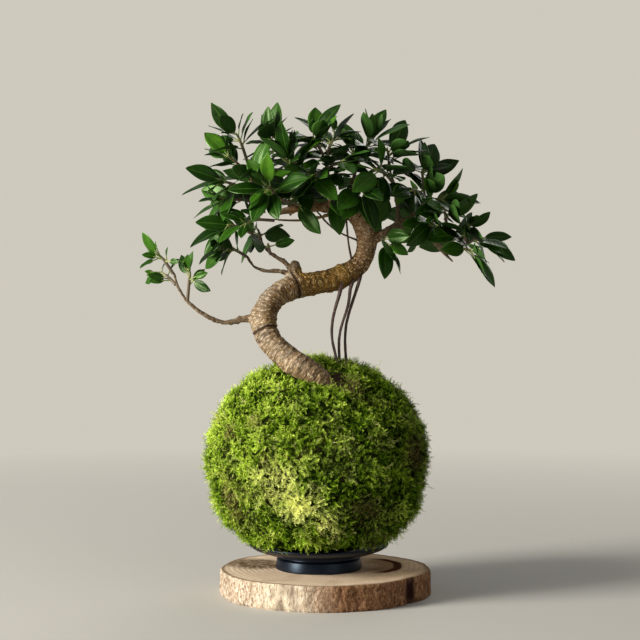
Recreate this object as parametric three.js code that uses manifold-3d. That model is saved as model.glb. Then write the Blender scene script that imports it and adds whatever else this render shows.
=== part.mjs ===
// Kokedama: a small fig bonsai with an S-shaped trunk that grows from a moss ball.
// The ball rests in a low footed dish, and the dish stands on a round slice of wood.
// Millimetres, +Z up. The origin is the centre of the slice's flat underside, +Y runs away from the viewer.
import * as THREE from "three";
import { mergeVertices } from "three/addons/utils/BufferGeometryUtils.js";
import Module from "manifold-3d";

const wasm = await Module();
wasm.setup();

// Gap that separate solids keep from each other
const GAP = 0.3;
// Wider by what faceting takes, for a hole round a faceted rod
const HOLE_GAP = 0.45;
// Corners nearer than this are one corner
const MERGE_DISTANCE = 1e-4;

// Wood slice
const SLICE_RADIUS = 93;
const SLICE_HEIGHT = 22;
const SLICE_SIDES = 44;
const SLICE_LEVELS = [
  { z: 0, out: -1.2 },
  { z: 10, out: 0 },
  { z: SLICE_HEIGHT, out: -0.8 },
];
const SLICE_WAVES = [
  { around: 3, shift: 0.7, size: 1.1 },
  { around: 5, shift: 2.1, size: 0.65 },
  { around: 9, shift: 4, size: 0.45 },
];

// Footed dish
const DISH_X = -5;
const DISH_FOOT_RADIUS = 38.5;
const DISH_FOOT_HEIGHT = 9.5;
const DISH_FOOT_WIDTH = 4;
const DISH_FOOT_HOLLOW = 3;
const DISH_EDGE = 0.8;
const DISH_NECK_RADIUS = 34;
const DISH_NECK_HEIGHT = 1.6;
const DISH_RIM_RADIUS = 62;
const DISH_RIM_TOP = 44.5;
const DISH_FLOOR_RADIUS = 44;
const DISH_FLOOR_TOP = 36.8;
const DISH_WALL = 2.6;
const DISH_SIDES = 28;

// Moss ball: a round body, flatter below, with shallow lumps
const BALL = new THREE.Vector3(-6.5, 0, 122.5);
const BALL_RADIUS = 96.5;
const BALL_HALF_HEIGHT = 86;
const BALL_UPPER_POWER = 2;
const BALL_LOWER_POWER = 2.55;
const BALL_LUMPS = [
  { around: 3, upward: 4, shift: 0.6, size: 0.6 },
  { around: 6, upward: -5, shift: 2, size: 1 },
  { around: 9, upward: 7, shift: 4, size: 1.2 },
  { around: 4, upward: 10, shift: 1.6, size: 1.1 },
];
const BALL_COLUMNS = 32;
const BALL_ROWS = 18;
const MOSS_THICKNESS = 8;
const SOIL_COLUMNS = 16;
const SOIL_ROWS = 10;

// Opening in the moss round the foot of the trunk, seen from above
const OPENING = new THREE.Vector3(9, -49, 0);
const OPENING_HALF_WIDTH = 19;
const OPENING_HALF_DEPTH = 12;
const OPENING_BOTTOM = 150;
const OPENING_TOP = 215;
const OPENING_SIDES = 14;
const OPENING_WAVES = [
  { around: 3, shift: 1, size: 0.1 },
  { around: 5, shift: 0, size: 0.07 },
];
// How far the soil in the opening lies below the face of the moss
const SOIL_BELOW_MOSS = 3;

// Largest move that tidying a join makes, and the volume that leaves of one shoot may share at their roots
const JOIN_TOLERANCE = 0.02;
const SHARED_ROOT_VOLUME = 0.6;

// Sides and ring spacing of trunk, limbs, roots and twigs
const TRUNK_SIDES = 11;
const TRUNK_STEP = 12;
const TRUNK_SWELL = 0.045;
const TRUNK_SWELLS_ALONG = 46;
const TRUNK_FLUTE = 0.04;
const TRUNK_FLUTES = 3;
const TRUNK_FLUTE_TWIST = 20;
const LIMB_SIDES = 6;
const ROOT_SIDES = 5;
const LIMB_STEP = 14;
const ROOT_STEP = 14;
const TWIG_SIDES = 5;
const TWIG_RINGS = 3;
const TWIG_START_RADIUS = 1.5;
const TWIG_END_RADIUS = 1.05;
const TWIG_RISE = 0.12;
const TWIG_START_STEP = 0.15;

// Leaves
const LEAF_LENGTH = 30.5;
const LEAF_LENGTH_SPREAD = 0.17;
const LEAF_WIDTH_SHARE = 0.52;
const LEAF_THICKNESS = 0.9;
const PETIOLE_LENGTH = 6.5;
const PETIOLE_RADIUS = 0.72;
const LEAF_STATIONS = [
  { along: 0.3, width: 0.94 },
  { along: 0.7, width: 0.84 },
];
const LEAF_DROOP = 0.45;
const LEAF_FOLD = 0.2;
const LEAF_ARCH = 0.16;
const GOLDEN_ANGLE = 2.39996;

// Where leaves sit along a twig, and how far they open from it, in radians
const FIRST_LEAF_AT = 0.3;
const SIDE_LEAVES_SPAN = 0.62;
const END_LEAF_AT = 0.93;
const SIDE_LEAF_OPENING = 0.95;
const SIDE_LEAF_OPENING_SPREAD = 0.35;
const END_LEAF_OPENING = 0.25;
const END_LEAF_OPENING_STEP = 0.12;
const LEAF_TURN_SPREAD = 0.9;
const LEAF_TURN_STEP = 1.1;

// Leaves with a given tip: how far apart they leave the twig, and how far a further try moves the tip
const AIMED_LEAF_STEP = 0.14;
const AIM_JITTER = 1.6;

// Leaves face out from the middle of the crown, upward and a little toward the viewer
const CROWN = new THREE.Vector3(5, 10, 330);
const FACE_LIFT = 0.35;
const FACE_SPREAD = 0.9;
const FACE_FORWARD = 0.35;

// Poses tried for a leaf before it is left out, and the seeds of the draws
const LEAF_TRIES = 14;
const FIRST_SEED = 41;
const SHOOT_SEED_STEP = 97;
const LEAF_SEED_STEP = 13;

// Trunk route from its buried foot up through both bends to the fine upper branch: x, y, z, radius
const TRUNK = [
  [5, -36, 165, 8.2],
  [4, -44, 177, 9.2],
  [0, -51, 188, 9.8],
  [-9, -55, 197, 10.3],
  [-23, -54, 203.5, 10.8],
  [-37, -49, 214.5, 11],
  [-48, -44, 225.5, 11.1],
  [-53, -38, 240, 11.4],
  [-48, -30, 258, 11],
  [-38, -25, 267, 10.8],
  [-26, -19, 271.5, 10.8],
  [-7, -10, 275, 10.6],
  [12, -2, 279, 10.5],
  [25, 3, 286, 10.2],
  [34, 5, 295, 9.6],
  [38, 6, 308, 8.9],
  [36, 5, 320, 8.4],
  [29, 3, 334, 7.2],
  [16, 1, 342, 5.6],
  [0, 0, 343, 4.4],
  [-18, -4, 342, 3.8],
  [-36, -8, 339, 2.9],
  [-47, -9, 337, 2.1],
];

// Limbs that are one piece with the trunk: x, y, z, radius
const LIMBS = {
  knob: [[-32, -21, 268, 9], [-27, -16, 279, 7.6], [-26, -15, 289, 6.4], [-25, -15, 295, 3.8]],
  bump: [[8, -3, 281, 7], [15, -1, 285.5, 7.8], [23, 1, 287, 6.4]],
  left: [
    [-48, -36, 241, 5.2], [-67, -37, 245, 3.3], [-85, -38, 239, 2.1],
    [-107, -40, 249, 1.8], [-124, -42, 265, 1.6], [-130, -43, 284, 1.3],
  ],
  lowLoop: [[-27, -14, 281, 2.8], [-40, -16, 286, 2.1], [-60, -10, 286, 1.7], [-69, -3, 300, 1.3]],
  highLoop: [[-27, -14, 284, 2.4], [-37, -13, 296, 1.9], [-49, -9, 301, 1.7], [-60, -2, 318, 1.3]],
  under: [[12, 0, 339, 2.2], [-4, -6, 333, 1.7], [-22, -11, 330, 1.5], [-46, -15, 331, 1.3]],
  leftRise: [[-27, -6, 338, 2.2], [-48, -4, 342, 1.9], [-62, 0, 355, 1.7], [-67, 0, 380, 1.3]],
  frontRise: [[-18, -4, 339, 2], [-32, -19, 345, 1.6], [-43, -32, 351, 1.4]],
  midRise: [[-6, -2, 340, 2.4], [-13, 5, 355, 2], [-22, 10, 372, 1.7], [-31, 10, 388, 1.3]],
  highRise: [[6, 0, 340, 2.4], [5, -5, 356, 2], [3, -8, 374, 1.6], [-1, -4, 390, 1.3]],
  backRise: [[18, 2, 338, 2.6], [22, 14, 357, 2.1], [28, 18, 375, 1.7], [33, 12, 391, 1.3]],
  right: [
    [38, 5, 312, 5.6], [56, 8, 321, 4.6], [78, 11, 332, 3.8],
    [91, 10, 321, 2.4], [103, 7, 307, 1.9], [115, 4, 294, 1.1],
  ],
  rightRise: [[66, 10, 328, 2.6], [66, 13, 345, 2.1], [63, 12, 361, 1.7], [58, 6, 379, 1.3]],
  outerRise: [[76, 11, 331, 2.4], [84, 15, 342, 1.9], [91, 13, 351, 1.6], [89, 9, 361, 1.3]],
  rightTwig: [[98, 8, 313, 1.7], [108, 5, 306, 1.6], [118, 0, 304, 1.5], [126, -4, 311, 1.2]],
  midTwig: [[94, 9, 318, 1.7], [104, 4, 321, 1.4], [109, 0, 329, 1.2]],
  backLimb: [[34, 4, 327, 3], [32, 24, 336, 2.4], [24, 42, 346, 1.8], [12, 54, 356, 1.3]],
};

// Aerial roots, each a piece of its own: three long ones into the ball and two between the bends
const ROOTS = {
  long_root_left: [
    [15, -8, 277, 3], [14, -14, 267, 2.2], [8, -16, 248, 1.8],
    [6, -19, 228, 1.7], [11, -23, 207, 1.7], [14, -26, 186, 1.7],
  ],
  long_root_middle: [
    [27, -2, 282, 2.6], [23, -9, 272, 2], [21, -11, 253, 1.7],
    [14, -14, 236, 1.7], [12.5, -17, 221, 1.7], [15, -20, 186, 1.7],
  ],
  long_root_right: [
    [33, 2, 288, 2.8], [31, -5, 277, 2.1], [25, -6, 259, 1.8],
    [19.5, -8, 241, 1.7], [18, -11, 225, 1.7], [21, -14, 186, 1.7],
  ],
  inner_root_slant: [
    [-6, -2, 339, 1.2], [0, 2, 331, 1.2], [7, 2, 324, 1.1], [20, 2, 317, 1.1], [36, 4, 312, 1.2],
  ],
  inner_root_upright: [
    [19, 0, 338, 1.2], [20, -3, 326, 1.2], [21, -3, 312, 1.2], [23, -1, 302, 1.3], [27, 1, 284, 1.6],
  ],
};

// Leafy shoots: the limb each grows from, how far along it, where its twig ends, its leaves and their size,
// and where the tips of those leaves end that make the crown's outline
const SHOOTS = [
  { limb: "leftRise", at: 0.97, to: [-77, -6, 406], leaves: 6, tips: [[-104, -16, 429], [-63, -16, 425]] },
  { limb: "leftRise", at: 0.86, to: [-84, -10, 386], leaves: 5, tips: [[-105, -20, 387]] },
  { limb: "leftRise", at: 0.62, to: [-90, -18, 364], leaves: 6, tips: [[-121, -26, 375], [-101, -34, 359]] },
  { limb: "leftRise", at: 0.45, to: [-87, -6, 348], leaves: 5, tips: [[-111, -12, 347]] },
  { limb: "leftRise", at: 0.55, to: [-62, -28, 370], leaves: 5 },
  { limb: "leftRise", at: 0.75, to: [-62, 28, 378], leaves: 4 },
  { limb: "leftRise", at: 0.3, to: [-56, 30, 352], leaves: 3 },
  { limb: "frontRise", at: 0.95, to: [-49, -46, 357], leaves: 6 },
  { limb: "frontRise", at: 0.6, to: [-22, -36, 342], leaves: 3 },
  {
    limb: "highLoop", at: 0.97, to: [-83, -16, 326], leaves: 6,
    tips: [[-117, -24, 306], [-113, -20, 328], [-103, -34, 295]],
  },
  { limb: "highLoop", at: 0.85, to: [-60, 20, 324], leaves: 4 },
  { limb: "highLoop", at: 0.62, to: [-49, -17, 307], leaves: 2, tips: [[-26, -24, 312]] },
  { limb: "lowLoop", at: 0.97, to: [-89, -10, 307], leaves: 5 },
  { limb: "under", at: 0.93, to: [-68, -28, 327], leaves: 4, tips: [[-91, -40, 296]] },
  { limb: "midRise", at: 0.97, to: [-50, 2, 401], leaves: 6, tips: [[-33, -6, 422], [-28, -14, 412]] },
  { limb: "midRise", at: 0.8, to: [-30, 36, 390], leaves: 5 },
  { limb: "midRise", at: 0.6, to: [-32, -20, 380], leaves: 5 },
  { limb: "midRise", at: 0.35, to: [-22, 36, 360], leaves: 3 },
  { limb: "midRise", at: 0.22, to: [-26, -22, 358], leaves: 4 },
  { limb: "highRise", at: 0.97, to: [-10, -12, 402], leaves: 5, tips: [[14, -14, 432]] },
  { limb: "highRise", at: 0.88, to: [8, 6, 404], leaves: 5, tips: [[31, -8, 409]] },
  { limb: "highRise", at: 0.6, to: [-12, -36, 366], leaves: 5 },
  { limb: "highRise", at: 0.7, to: [14, -26, 380], leaves: 5 },
  { limb: "highRise", at: 0.45, to: [4, 30, 374], leaves: 4 },
  { limb: "highRise", at: 0.3, to: [8, -32, 349], leaves: 4 },
  { limb: "backRise", at: 0.97, to: [41, 0, 400], leaves: 6, tips: [[51, -6, 425]] },
  { limb: "backRise", at: 0.88, to: [26, 34, 394], leaves: 5 },
  { limb: "backRise", at: 0.6, to: [38, 44, 372], leaves: 4 },
  { limb: "backRise", at: 0.2, to: [33, -34, 356], leaves: 6, tips: [[43, -48, 320]] },
  { limb: "rightRise", at: 0.97, to: [56, -4, 393], leaves: 5 },
  { limb: "rightRise", at: 0.75, to: [46, -28, 372], leaves: 5 },
  { limb: "rightRise", at: 0.85, to: [74, 10, 378], leaves: 4 },
  { limb: "rightRise", at: 0.5, to: [60, 42, 358], leaves: 4 },
  { limb: "outerRise", at: 0.96, to: [87, 2, 374], leaves: 5, tips: [[113, -6, 379]] },
  { limb: "outerRise", at: 0.65, to: [96, 36, 350], leaves: 4 },
  { limb: "outerRise", at: 0.75, to: [76, -16, 356], leaves: 4 },
  { limb: "outerRise", at: 0.5, to: [104, 0, 350], leaves: 5 },
  { limb: "right", at: 0.12, to: [52, -22, 311], leaves: 4, tips: [[52, -36, 278], [68, -42, 314]] },
  { limb: "right", at: 0.6, to: [96, -18, 330], leaves: 4, tips: [[71, -34, 307]] },
  { limb: "right", at: 0.5, to: [86, 38, 326], leaves: 3 },
  { limb: "midTwig", at: 0.95, to: [106, -10, 340], leaves: 5 },
  { limb: "rightTwig", at: 0.96, to: [124, -13, 323], leaves: 5, tips: [[145, -22, 337]] },
  { limb: "rightTwig", at: 0.8, to: [128, -17, 303], leaves: 4, tips: [[140, -28, 281], [101, -34, 304]] },
  { limb: "rightTwig", at: 0.9, to: [137, 0, 315], leaves: 4, tips: [[166, -4, 316]] },
  { limb: "rightTwig", at: 0.45, to: [114, 20, 318], leaves: 5 },
  {
    limb: "left", at: 0.97, to: [-141, -46, 297], leaves: 4, size: 0.6,
    tips: [[-158, -50, 287], [-151, -52, 305], [-124, -56, 292]],
  },
  {
    limb: "left", at: 0.72, to: [-115, -52, 282], leaves: 5, size: 0.6,
    tips: [[-112, -56, 301], [-97, -60, 267], [-106, -48, 286]],
  },
  { limb: "left", at: 0.88, to: [-141, -33, 283], leaves: 3, size: 0.55 },
  { limb: "backLimb", at: 0.96, to: [2, 62, 366], leaves: 4 },
  { limb: "backLimb", at: 0.7, to: [44, 58, 348], leaves: 4 },
];

// Seeded draws between 0 and 1, by a linear congruential rule
const DRAW_FACTOR = 1664525;
const DRAW_ADDEND = 1013904223;
const DRAW_RANGE = 4294967296;

function draws(seed) {
  let state = seed;
  return () => {
    state = (state * DRAW_FACTOR + DRAW_ADDEND) % DRAW_RANGE;
    return state / DRAW_RANGE;
  };
}

// Closed solid from points and triangles, turned outward if its faces point in
function solidFrom(points, triangles) {
  const positions = new Float32Array(points.flatMap((point) => [point.x, point.y, point.z]));
  const geometry = new THREE.BufferGeometry();
  geometry.setAttribute("position", new THREE.BufferAttribute(positions, 3));
  geometry.setIndex(triangles);
  return solidOf(geometry);
}

function signedVolume(positions, index) {
  const corner = [new THREE.Vector3(), new THREE.Vector3(), new THREE.Vector3()];
  let volume = 0;
  for (let i = 0; i < index.length; i += 3) {
    corner.forEach((point, k) => point.fromArray(positions, index[i + k] * 3));
    volume += corner[0].dot(corner[1].clone().cross(corner[2])) / 6;
  }
  return volume;
}

function solidOf(geometry) {
  const bare = geometry.clone();
  bare.deleteAttribute("normal");
  bare.deleteAttribute("uv");
  const merged = mergeVertices(bare, MERGE_DISTANCE);
  const vertProperties = new Float32Array(merged.attributes.position.array);
  const triVerts = new Uint32Array(merged.index.array);
  if (signedVolume(vertProperties, triVerts) < 0) {
    for (let i = 0; i < triVerts.length; i += 3) {
      [triVerts[i], triVerts[i + 1]] = [triVerts[i + 1], triVerts[i]];
    }
  }
  return new wasm.Manifold(new wasm.Mesh({ numProp: 3, vertProperties, triVerts }));
}

function geometryOf(solid) {
  const mesh = solid.getMesh();
  const geometry = new THREE.BufferGeometry();
  geometry.setAttribute("position", new THREE.BufferAttribute(new Float32Array(mesh.vertProperties), 3));
  geometry.setIndex(new THREE.BufferAttribute(new Uint32Array(mesh.triVerts), 1));
  geometry.computeVertexNormals();
  return geometry;
}

// Tidies what a join leaves: slivers and doubled corners far below the size of any real detail
function tidy(solid) {
  return solid.simplify(JOIN_TOLERANCE);
}

// Rings of points joined into a closed skin, with flat caps or a point at an end
function skin(rings) {
  const points = rings.flat();
  const triangles = [];
  let start = 0;
  for (let i = 0; i + 1 < rings.length; i += 1) {
    const near = rings[i].length;
    const far = rings[i + 1].length;
    const next = start + near;
    if (far === 1) {
      for (let k = 0; k < near; k += 1) {
        triangles.push(start + k, start + ((k + 1) % near), next);
      }
    } else if (near === 1) {
      for (let k = 0; k < far; k += 1) {
        triangles.push(start, next + ((k + 1) % far), next + k);
      }
    } else {
      for (let k = 0; k < near; k += 1) {
        const after = (k + 1) % near;
        triangles.push(start + k, start + after, next + after);
        triangles.push(start + k, next + after, next + k);
      }
    }
    start = next;
  }
  const last = rings[rings.length - 1].length;
  for (let k = 1; k + 1 < rings[0].length; k += 1) {
    triangles.push(0, k + 1, k);
  }
  for (let k = 1; k + 1 < last; k += 1) {
    triangles.push(start, start + k, start + k + 1);
  }
  return solidFrom(points, triangles);
}

// Smooth route through hand-placed points, and its radius anywhere along it
function routeOf(stops) {
  const points = stops.map(([x, y, z]) => new THREE.Vector3(x, y, z));
  const curve = new THREE.CatmullRomCurve3(points, false, "centripetal");
  const radiusAt = (share) => {
    const place = share * (stops.length - 1);
    const index = Math.min(Math.floor(place), stops.length - 2);
    return THREE.MathUtils.lerp(stops[index][3], stops[index + 1][3], place - index);
  };
  return { curve, radiusAt };
}

// Tapered round rod along a route. extra widens it, as for the hole that it stands in
function rod({ curve, radiusAt }, sides, steps, extra = 0, shape = () => 1) {
  const frames = curve.computeFrenetFrames(steps, false);
  const rings = [];
  for (let i = 0; i <= steps; i += 1) {
    const share = i / steps;
    const centre = curve.getPointAt(share);
    const radius = radiusAt(curve.getUtoTmapping(share)) + extra;
    const ring = [];
    for (let k = 0; k < sides; k += 1) {
      const angle = (k / sides) * Math.PI * 2;
      const reach = radius * shape(share, angle);
      const out = frames.normals[i].clone().multiplyScalar(Math.cos(angle) * reach);
      out.addScaledVector(frames.binormals[i], Math.sin(angle) * reach);
      ring.push(centre.clone().add(out));
    }
    rings.push(ring);
  }
  return skin(rings);
}

function stepsFor(route, spacing) {
  return Math.max(2, Math.round(route.curve.getLength() / spacing));
}

// True when a solid keeps the gap from every other one
function clears(solid, others, gap) {
  const box = solid.boundingBox();
  return others.every((other) => {
    const far = other.box.min.some((low, i) => low > box.max[i] + gap)
      || other.box.max.some((high, i) => high < box.min[i] - gap);
    return far || other.solid.minGap(solid, gap) >= gap;
  });
}

function boxed(solid) {
  return { solid, box: solid.boundingBox() };
}

// Sum of a few waves round an axis
function ripple(waves, angle) {
  return waves.reduce((sum, wave) => sum + wave.size * Math.sin(wave.around * angle + wave.shift), 0);
}

// Wood slice with a slightly uneven round edge
function woodSlice() {
  const rings = SLICE_LEVELS.map(({ z, out }) => {
    const ring = [];
    for (let k = 0; k < SLICE_SIDES; k += 1) {
      const angle = (k / SLICE_SIDES) * Math.PI * 2;
      const radius = SLICE_RADIUS + out + ripple(SLICE_WAVES, angle);
      ring.push(new THREE.Vector3(Math.cos(angle) * radius, Math.sin(angle) * radius, z));
    }
    return ring;
  });
  return skin(rings);
}

// Low black dish: a foot ring, a short neck and a shallow bowl that flares to its rim
function footedDish() {
  const base = SLICE_HEIGHT + GAP;
  const footTop = base + DISH_FOOT_HEIGHT;
  const outline = [
    [0, base + DISH_FOOT_HOLLOW],
    [DISH_FOOT_RADIUS - DISH_FOOT_WIDTH - DISH_EDGE, base + DISH_FOOT_HOLLOW],
    [DISH_FOOT_RADIUS - DISH_FOOT_WIDTH, base],
    [DISH_FOOT_RADIUS - DISH_EDGE, base],
    [DISH_FOOT_RADIUS, base + DISH_EDGE],
    [DISH_FOOT_RADIUS, footTop - DISH_EDGE],
    [DISH_NECK_RADIUS, footTop],
    [DISH_NECK_RADIUS, footTop + DISH_NECK_HEIGHT],
    [DISH_FLOOR_RADIUS + DISH_WALL, DISH_FLOOR_TOP - DISH_WALL / 2],
    [DISH_RIM_RADIUS, DISH_RIM_TOP - DISH_WALL / 2],
    [DISH_RIM_RADIUS, DISH_RIM_TOP],
    [DISH_RIM_RADIUS - DISH_WALL, DISH_RIM_TOP],
    [DISH_FLOOR_RADIUS, DISH_FLOOR_TOP],
    [0, DISH_FLOOR_TOP],
  ];
  const lathe = new THREE.LatheGeometry(outline.map(([r, z]) => new THREE.Vector2(r, z)), DISH_SIDES);
  lathe.rotateX(Math.PI / 2);
  lathe.translate(DISH_X, 0, 0);
  return solidOf(lathe);
}

// Point of the ball's surface in a direction given by its turn and its height angle
function ballPoint(turn, lift, inset, lumps) {
  const power = lift < 0 ? BALL_LOWER_POWER : BALL_UPPER_POWER;
  const across = Math.cos(lift);
  const up = Math.sin(lift);
  const scale = (across ** power + Math.abs(up) ** power) ** (-1 / power);
  const swell = across * lumps.reduce(
    (sum, lump) => sum + lump.size * Math.sin(lump.around * turn + lump.upward * lift + lump.shift),
    0,
  );
  const radius = BALL_RADIUS - inset + swell;
  const height = BALL_HALF_HEIGHT - inset + swell;
  const z = Math.max(BALL.z + height * scale * up, DISH_FLOOR_TOP + GAP + inset);
  return new THREE.Vector3(
    BALL.x + Math.cos(turn) * radius * scale * across,
    BALL.y + Math.sin(turn) * radius * scale * across,
    z,
  );
}

function ballSolid(columns, rows, inset, lumps) {
  const rings = [];
  for (let i = 0; i <= rows; i += 1) {
    const lift = -Math.PI / 2 + (i / rows) * Math.PI;
    if (i === 0 || i === rows) {
      rings.push([ballPoint(0, lift, inset, lumps)]);
    } else {
      const ring = [];
      for (let k = 0; k < columns; k += 1) {
        ring.push(ballPoint((k / columns) * Math.PI * 2, lift, inset, lumps));
      }
      rings.push(ring);
    }
  }
  return skin(rings);
}

// Uneven opening through the moss at the trunk's foot, or the same a little narrower
function mossOpening(inset = 0) {
  const rings = [OPENING_BOTTOM, OPENING_TOP].map((z) => {
    const ring = [];
    for (let k = 0; k < OPENING_SIDES; k += 1) {
      const angle = (k / OPENING_SIDES) * Math.PI * 2;
      const uneven = 1 + ripple(OPENING_WAVES, angle);
      ring.push(new THREE.Vector3(
        OPENING.x + Math.cos(angle) * (OPENING_HALF_WIDTH * uneven - inset),
        OPENING.y + Math.sin(angle) * (OPENING_HALF_DEPTH * uneven - inset),
        z,
      ));
    }
    return ring;
  });
  return skin(rings);
}

// Soil: a ball inside the moss, with a heap that nearly fills the opening
function soilSolid() {
  const heap = ballSolid(BALL_COLUMNS, BALL_ROWS, SOIL_BELOW_MOSS, BALL_LUMPS).intersect(mossOpening(HOLE_GAP));
  return ballSolid(SOIL_COLUMNS, SOIL_ROWS, MOSS_THICKNESS + HOLE_GAP, []).add(heap);
}

// Trunk with its knob and limbs, grown as one piece
function trunkBody(extra = 0) {
  const route = routeOf(TRUNK);
  const uneven = (share, angle) => 1 + TRUNK_SWELL * Math.sin(share * TRUNK_SWELLS_ALONG)
    + TRUNK_FLUTE * Math.sin(angle * TRUNK_FLUTES + share * TRUNK_FLUTE_TWIST);
  return rod(route, TRUNK_SIDES, stepsFor(route, TRUNK_STEP), extra, uneven);
}

function trunkWithLimbs(extra = 0) {
  const limbs = Object.values(LIMBS).map((stops) => {
    const route = routeOf(stops);
    return rod(route, LIMB_SIDES, stepsFor(route, LIMB_STEP), extra);
  });
  return tidy(wasm.Manifold.union([trunkBody(extra), ...limbs]));
}

function aerialRoot(stops, extra = 0) {
  const route = routeOf(stops);
  return rod(route, ROOT_SIDES, stepsFor(route, ROOT_STEP), extra);
}

// A root ends where it meets the trunk's bark, less the gap
function rootOutside(stops, wideTrunk) {
  const pieces = aerialRoot(stops).subtract(wideTrunk).decompose();
  pieces.sort((a, b) => b.volume() - a.volume());
  return tidy(pieces[0]);
}

// One leaf: petiole from inside the twig, then a folded, arched blade that ends in a point
function leafSolid({ root, along, face, length }) {
  const side = along.clone().cross(face).normalize();
  const width = length * LEAF_WIDTH_SHARE;
  const place = (reach, across, rise) => root.clone()
    .addScaledVector(along, reach).addScaledVector(side, across).addScaledVector(face, rise);
  const petiole = (reach) => [
    place(reach, -PETIOLE_RADIUS, -PETIOLE_RADIUS * 0.5),
    place(reach, 0, PETIOLE_RADIUS),
    place(reach, PETIOLE_RADIUS, -PETIOLE_RADIUS * 0.5),
  ];
  const stations = LEAF_STATIONS.map((station) => {
    const reach = PETIOLE_LENGTH + station.along * length;
    const half = (width / 2) * station.width;
    const rise = -LEAF_ARCH * length * station.along ** 2;
    return [
      place(reach, -half, rise + half * LEAF_FOLD),
      place(reach, 0, rise + LEAF_THICKNESS / 2),
      place(reach, half, rise + half * LEAF_FOLD),
      place(reach, 0, rise - LEAF_THICKNESS / 2),
    ];
  });
  const tip = place(PETIOLE_LENGTH + length, 0, -LEAF_ARCH * length);
  const points = [...petiole(0), ...petiole(PETIOLE_LENGTH), ...stations.flat(), tip];
  const triangles = [
    0, 1, 2,
    0, 3, 1, 1, 3, 4, 1, 4, 2, 2, 4, 5, 2, 5, 0, 0, 5, 3,
    3, 6, 7, 3, 7, 4, 4, 7, 8, 4, 8, 5, 3, 9, 6, 3, 5, 9, 5, 8, 9,
    6, 10, 11, 6, 11, 7, 8, 11, 12, 8, 7, 11, 6, 13, 10, 6, 9, 13, 8, 12, 13, 8, 13, 9,
    10, 14, 11, 11, 14, 12, 12, 14, 13, 13, 14, 10,
  ];
  return solidFrom(points, triangles);
}

// Twig from its limb to its end, started far enough out to keep the gap from the limb
function twigOf(shoot, woody) {
  const limb = routeOf(LIMBS[shoot.limb]);
  const foot = limb.curve.getPoint(shoot.at);
  const end = new THREE.Vector3(...shoot.to);
  const span = end.distanceTo(foot);
  for (let out = GAP; out < span / 2; out += TWIG_START_STEP) {
    const start = foot.clone().lerp(end, out / span);
    const middle = start.clone().lerp(end, 0.5);
    middle.z += span * TWIG_RISE;
    const curve = new THREE.QuadraticBezierCurve3(start, middle, end);
    const radiusAt = (share) => THREE.MathUtils.lerp(TWIG_START_RADIUS, TWIG_END_RADIUS, share);
    const solid = rod({ curve, radiusAt }, TWIG_SIDES, TWIG_RINGS);
    if (clears(solid, woody, GAP)) {
      return { curve, solid };
    }
  }
  throw new Error("No clear start for a twig on " + shoot.limb + " at " + shoot.at);
}

// Where a leaf's face looks: away from the middle of the crown, a little up and toward the viewer
function faceDirection(root, draw) {
  const outward = root.clone().sub(CROWN).normalize();
  outward.z += FACE_LIFT;
  outward.x += (draw() - 0.5) * FACE_SPREAD;
  outward.y += (draw() - 0.5) * FACE_SPREAD - FACE_FORWARD;
  return outward;
}

function squareTo(along, direction) {
  return direction.clone().addScaledVector(along, -direction.dot(along)).normalize();
}

// Poses tried for one leaf: round the twig by the golden angle, opening outward, face turned up
function leafPose(curve, index, shoot, attempt, draw) {
  const count = shoot.leaves;
  const last = index === count - 1;
  const share = last ? END_LEAF_AT : FIRST_LEAF_AT + SIDE_LEAVES_SPAN * (index / (count - 1));
  const root = curve.getPointAt(share);
  const heading = curve.getTangentAt(share);
  const aside = new THREE.Vector3(0, 0, 1).cross(heading).normalize();
  const above = heading.clone().cross(aside);
  const turn = index * GOLDEN_ANGLE + draw() * LEAF_TURN_SPREAD + attempt * LEAF_TURN_STEP;
  const opening = last
    ? END_LEAF_OPENING + END_LEAF_OPENING_STEP * attempt
    : SIDE_LEAF_OPENING + SIDE_LEAF_OPENING_SPREAD * (draw() - 0.5);
  const along = heading.clone().multiplyScalar(Math.cos(opening));
  along.addScaledVector(aside, Math.sin(opening) * Math.cos(turn));
  along.addScaledVector(above, Math.sin(opening) * Math.sin(turn));
  along.z -= LEAF_DROOP * draw();
  along.normalize();
  const face = squareTo(along, faceDirection(root, draw));
  const length = LEAF_LENGTH * (shoot.size ?? 1) * (1 + LEAF_LENGTH_SPREAD * (2 * draw() - 1));
  return { root, along, face, length };
}

// Pose of a leaf whose tip is given; it starts a little above its aim, because its blade arches down
function aimedPose(curve, index, shoot, attempt, draw) {
  const root = curve.getPointAt(END_LEAF_AT - AIMED_LEAF_STEP * index);
  const reach = new THREE.Vector3(...shoot.tips[index]).sub(root);
  ["x", "y", "z"].forEach((axis) => {
    reach[axis] += (draw() - 0.5) * AIM_JITTER * attempt;
  });
  const length = reach.length() - PETIOLE_LENGTH;
  const along = reach.clone().normalize();
  const facing = faceDirection(root, draw);
  along.addScaledVector(squareTo(along, facing), (LEAF_ARCH * length) / reach.length()).normalize();
  return { root, along, face: squareTo(along, facing), length };
}

// True when blades of one shoot cross; at their roots in the twig they may share a little
function crossesOwn(leaf, ownLeaves) {
  return ownLeaves.some((own) => own.solid.intersect(leaf).volume() > SHARED_ROOT_VOLUME);
}

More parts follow.
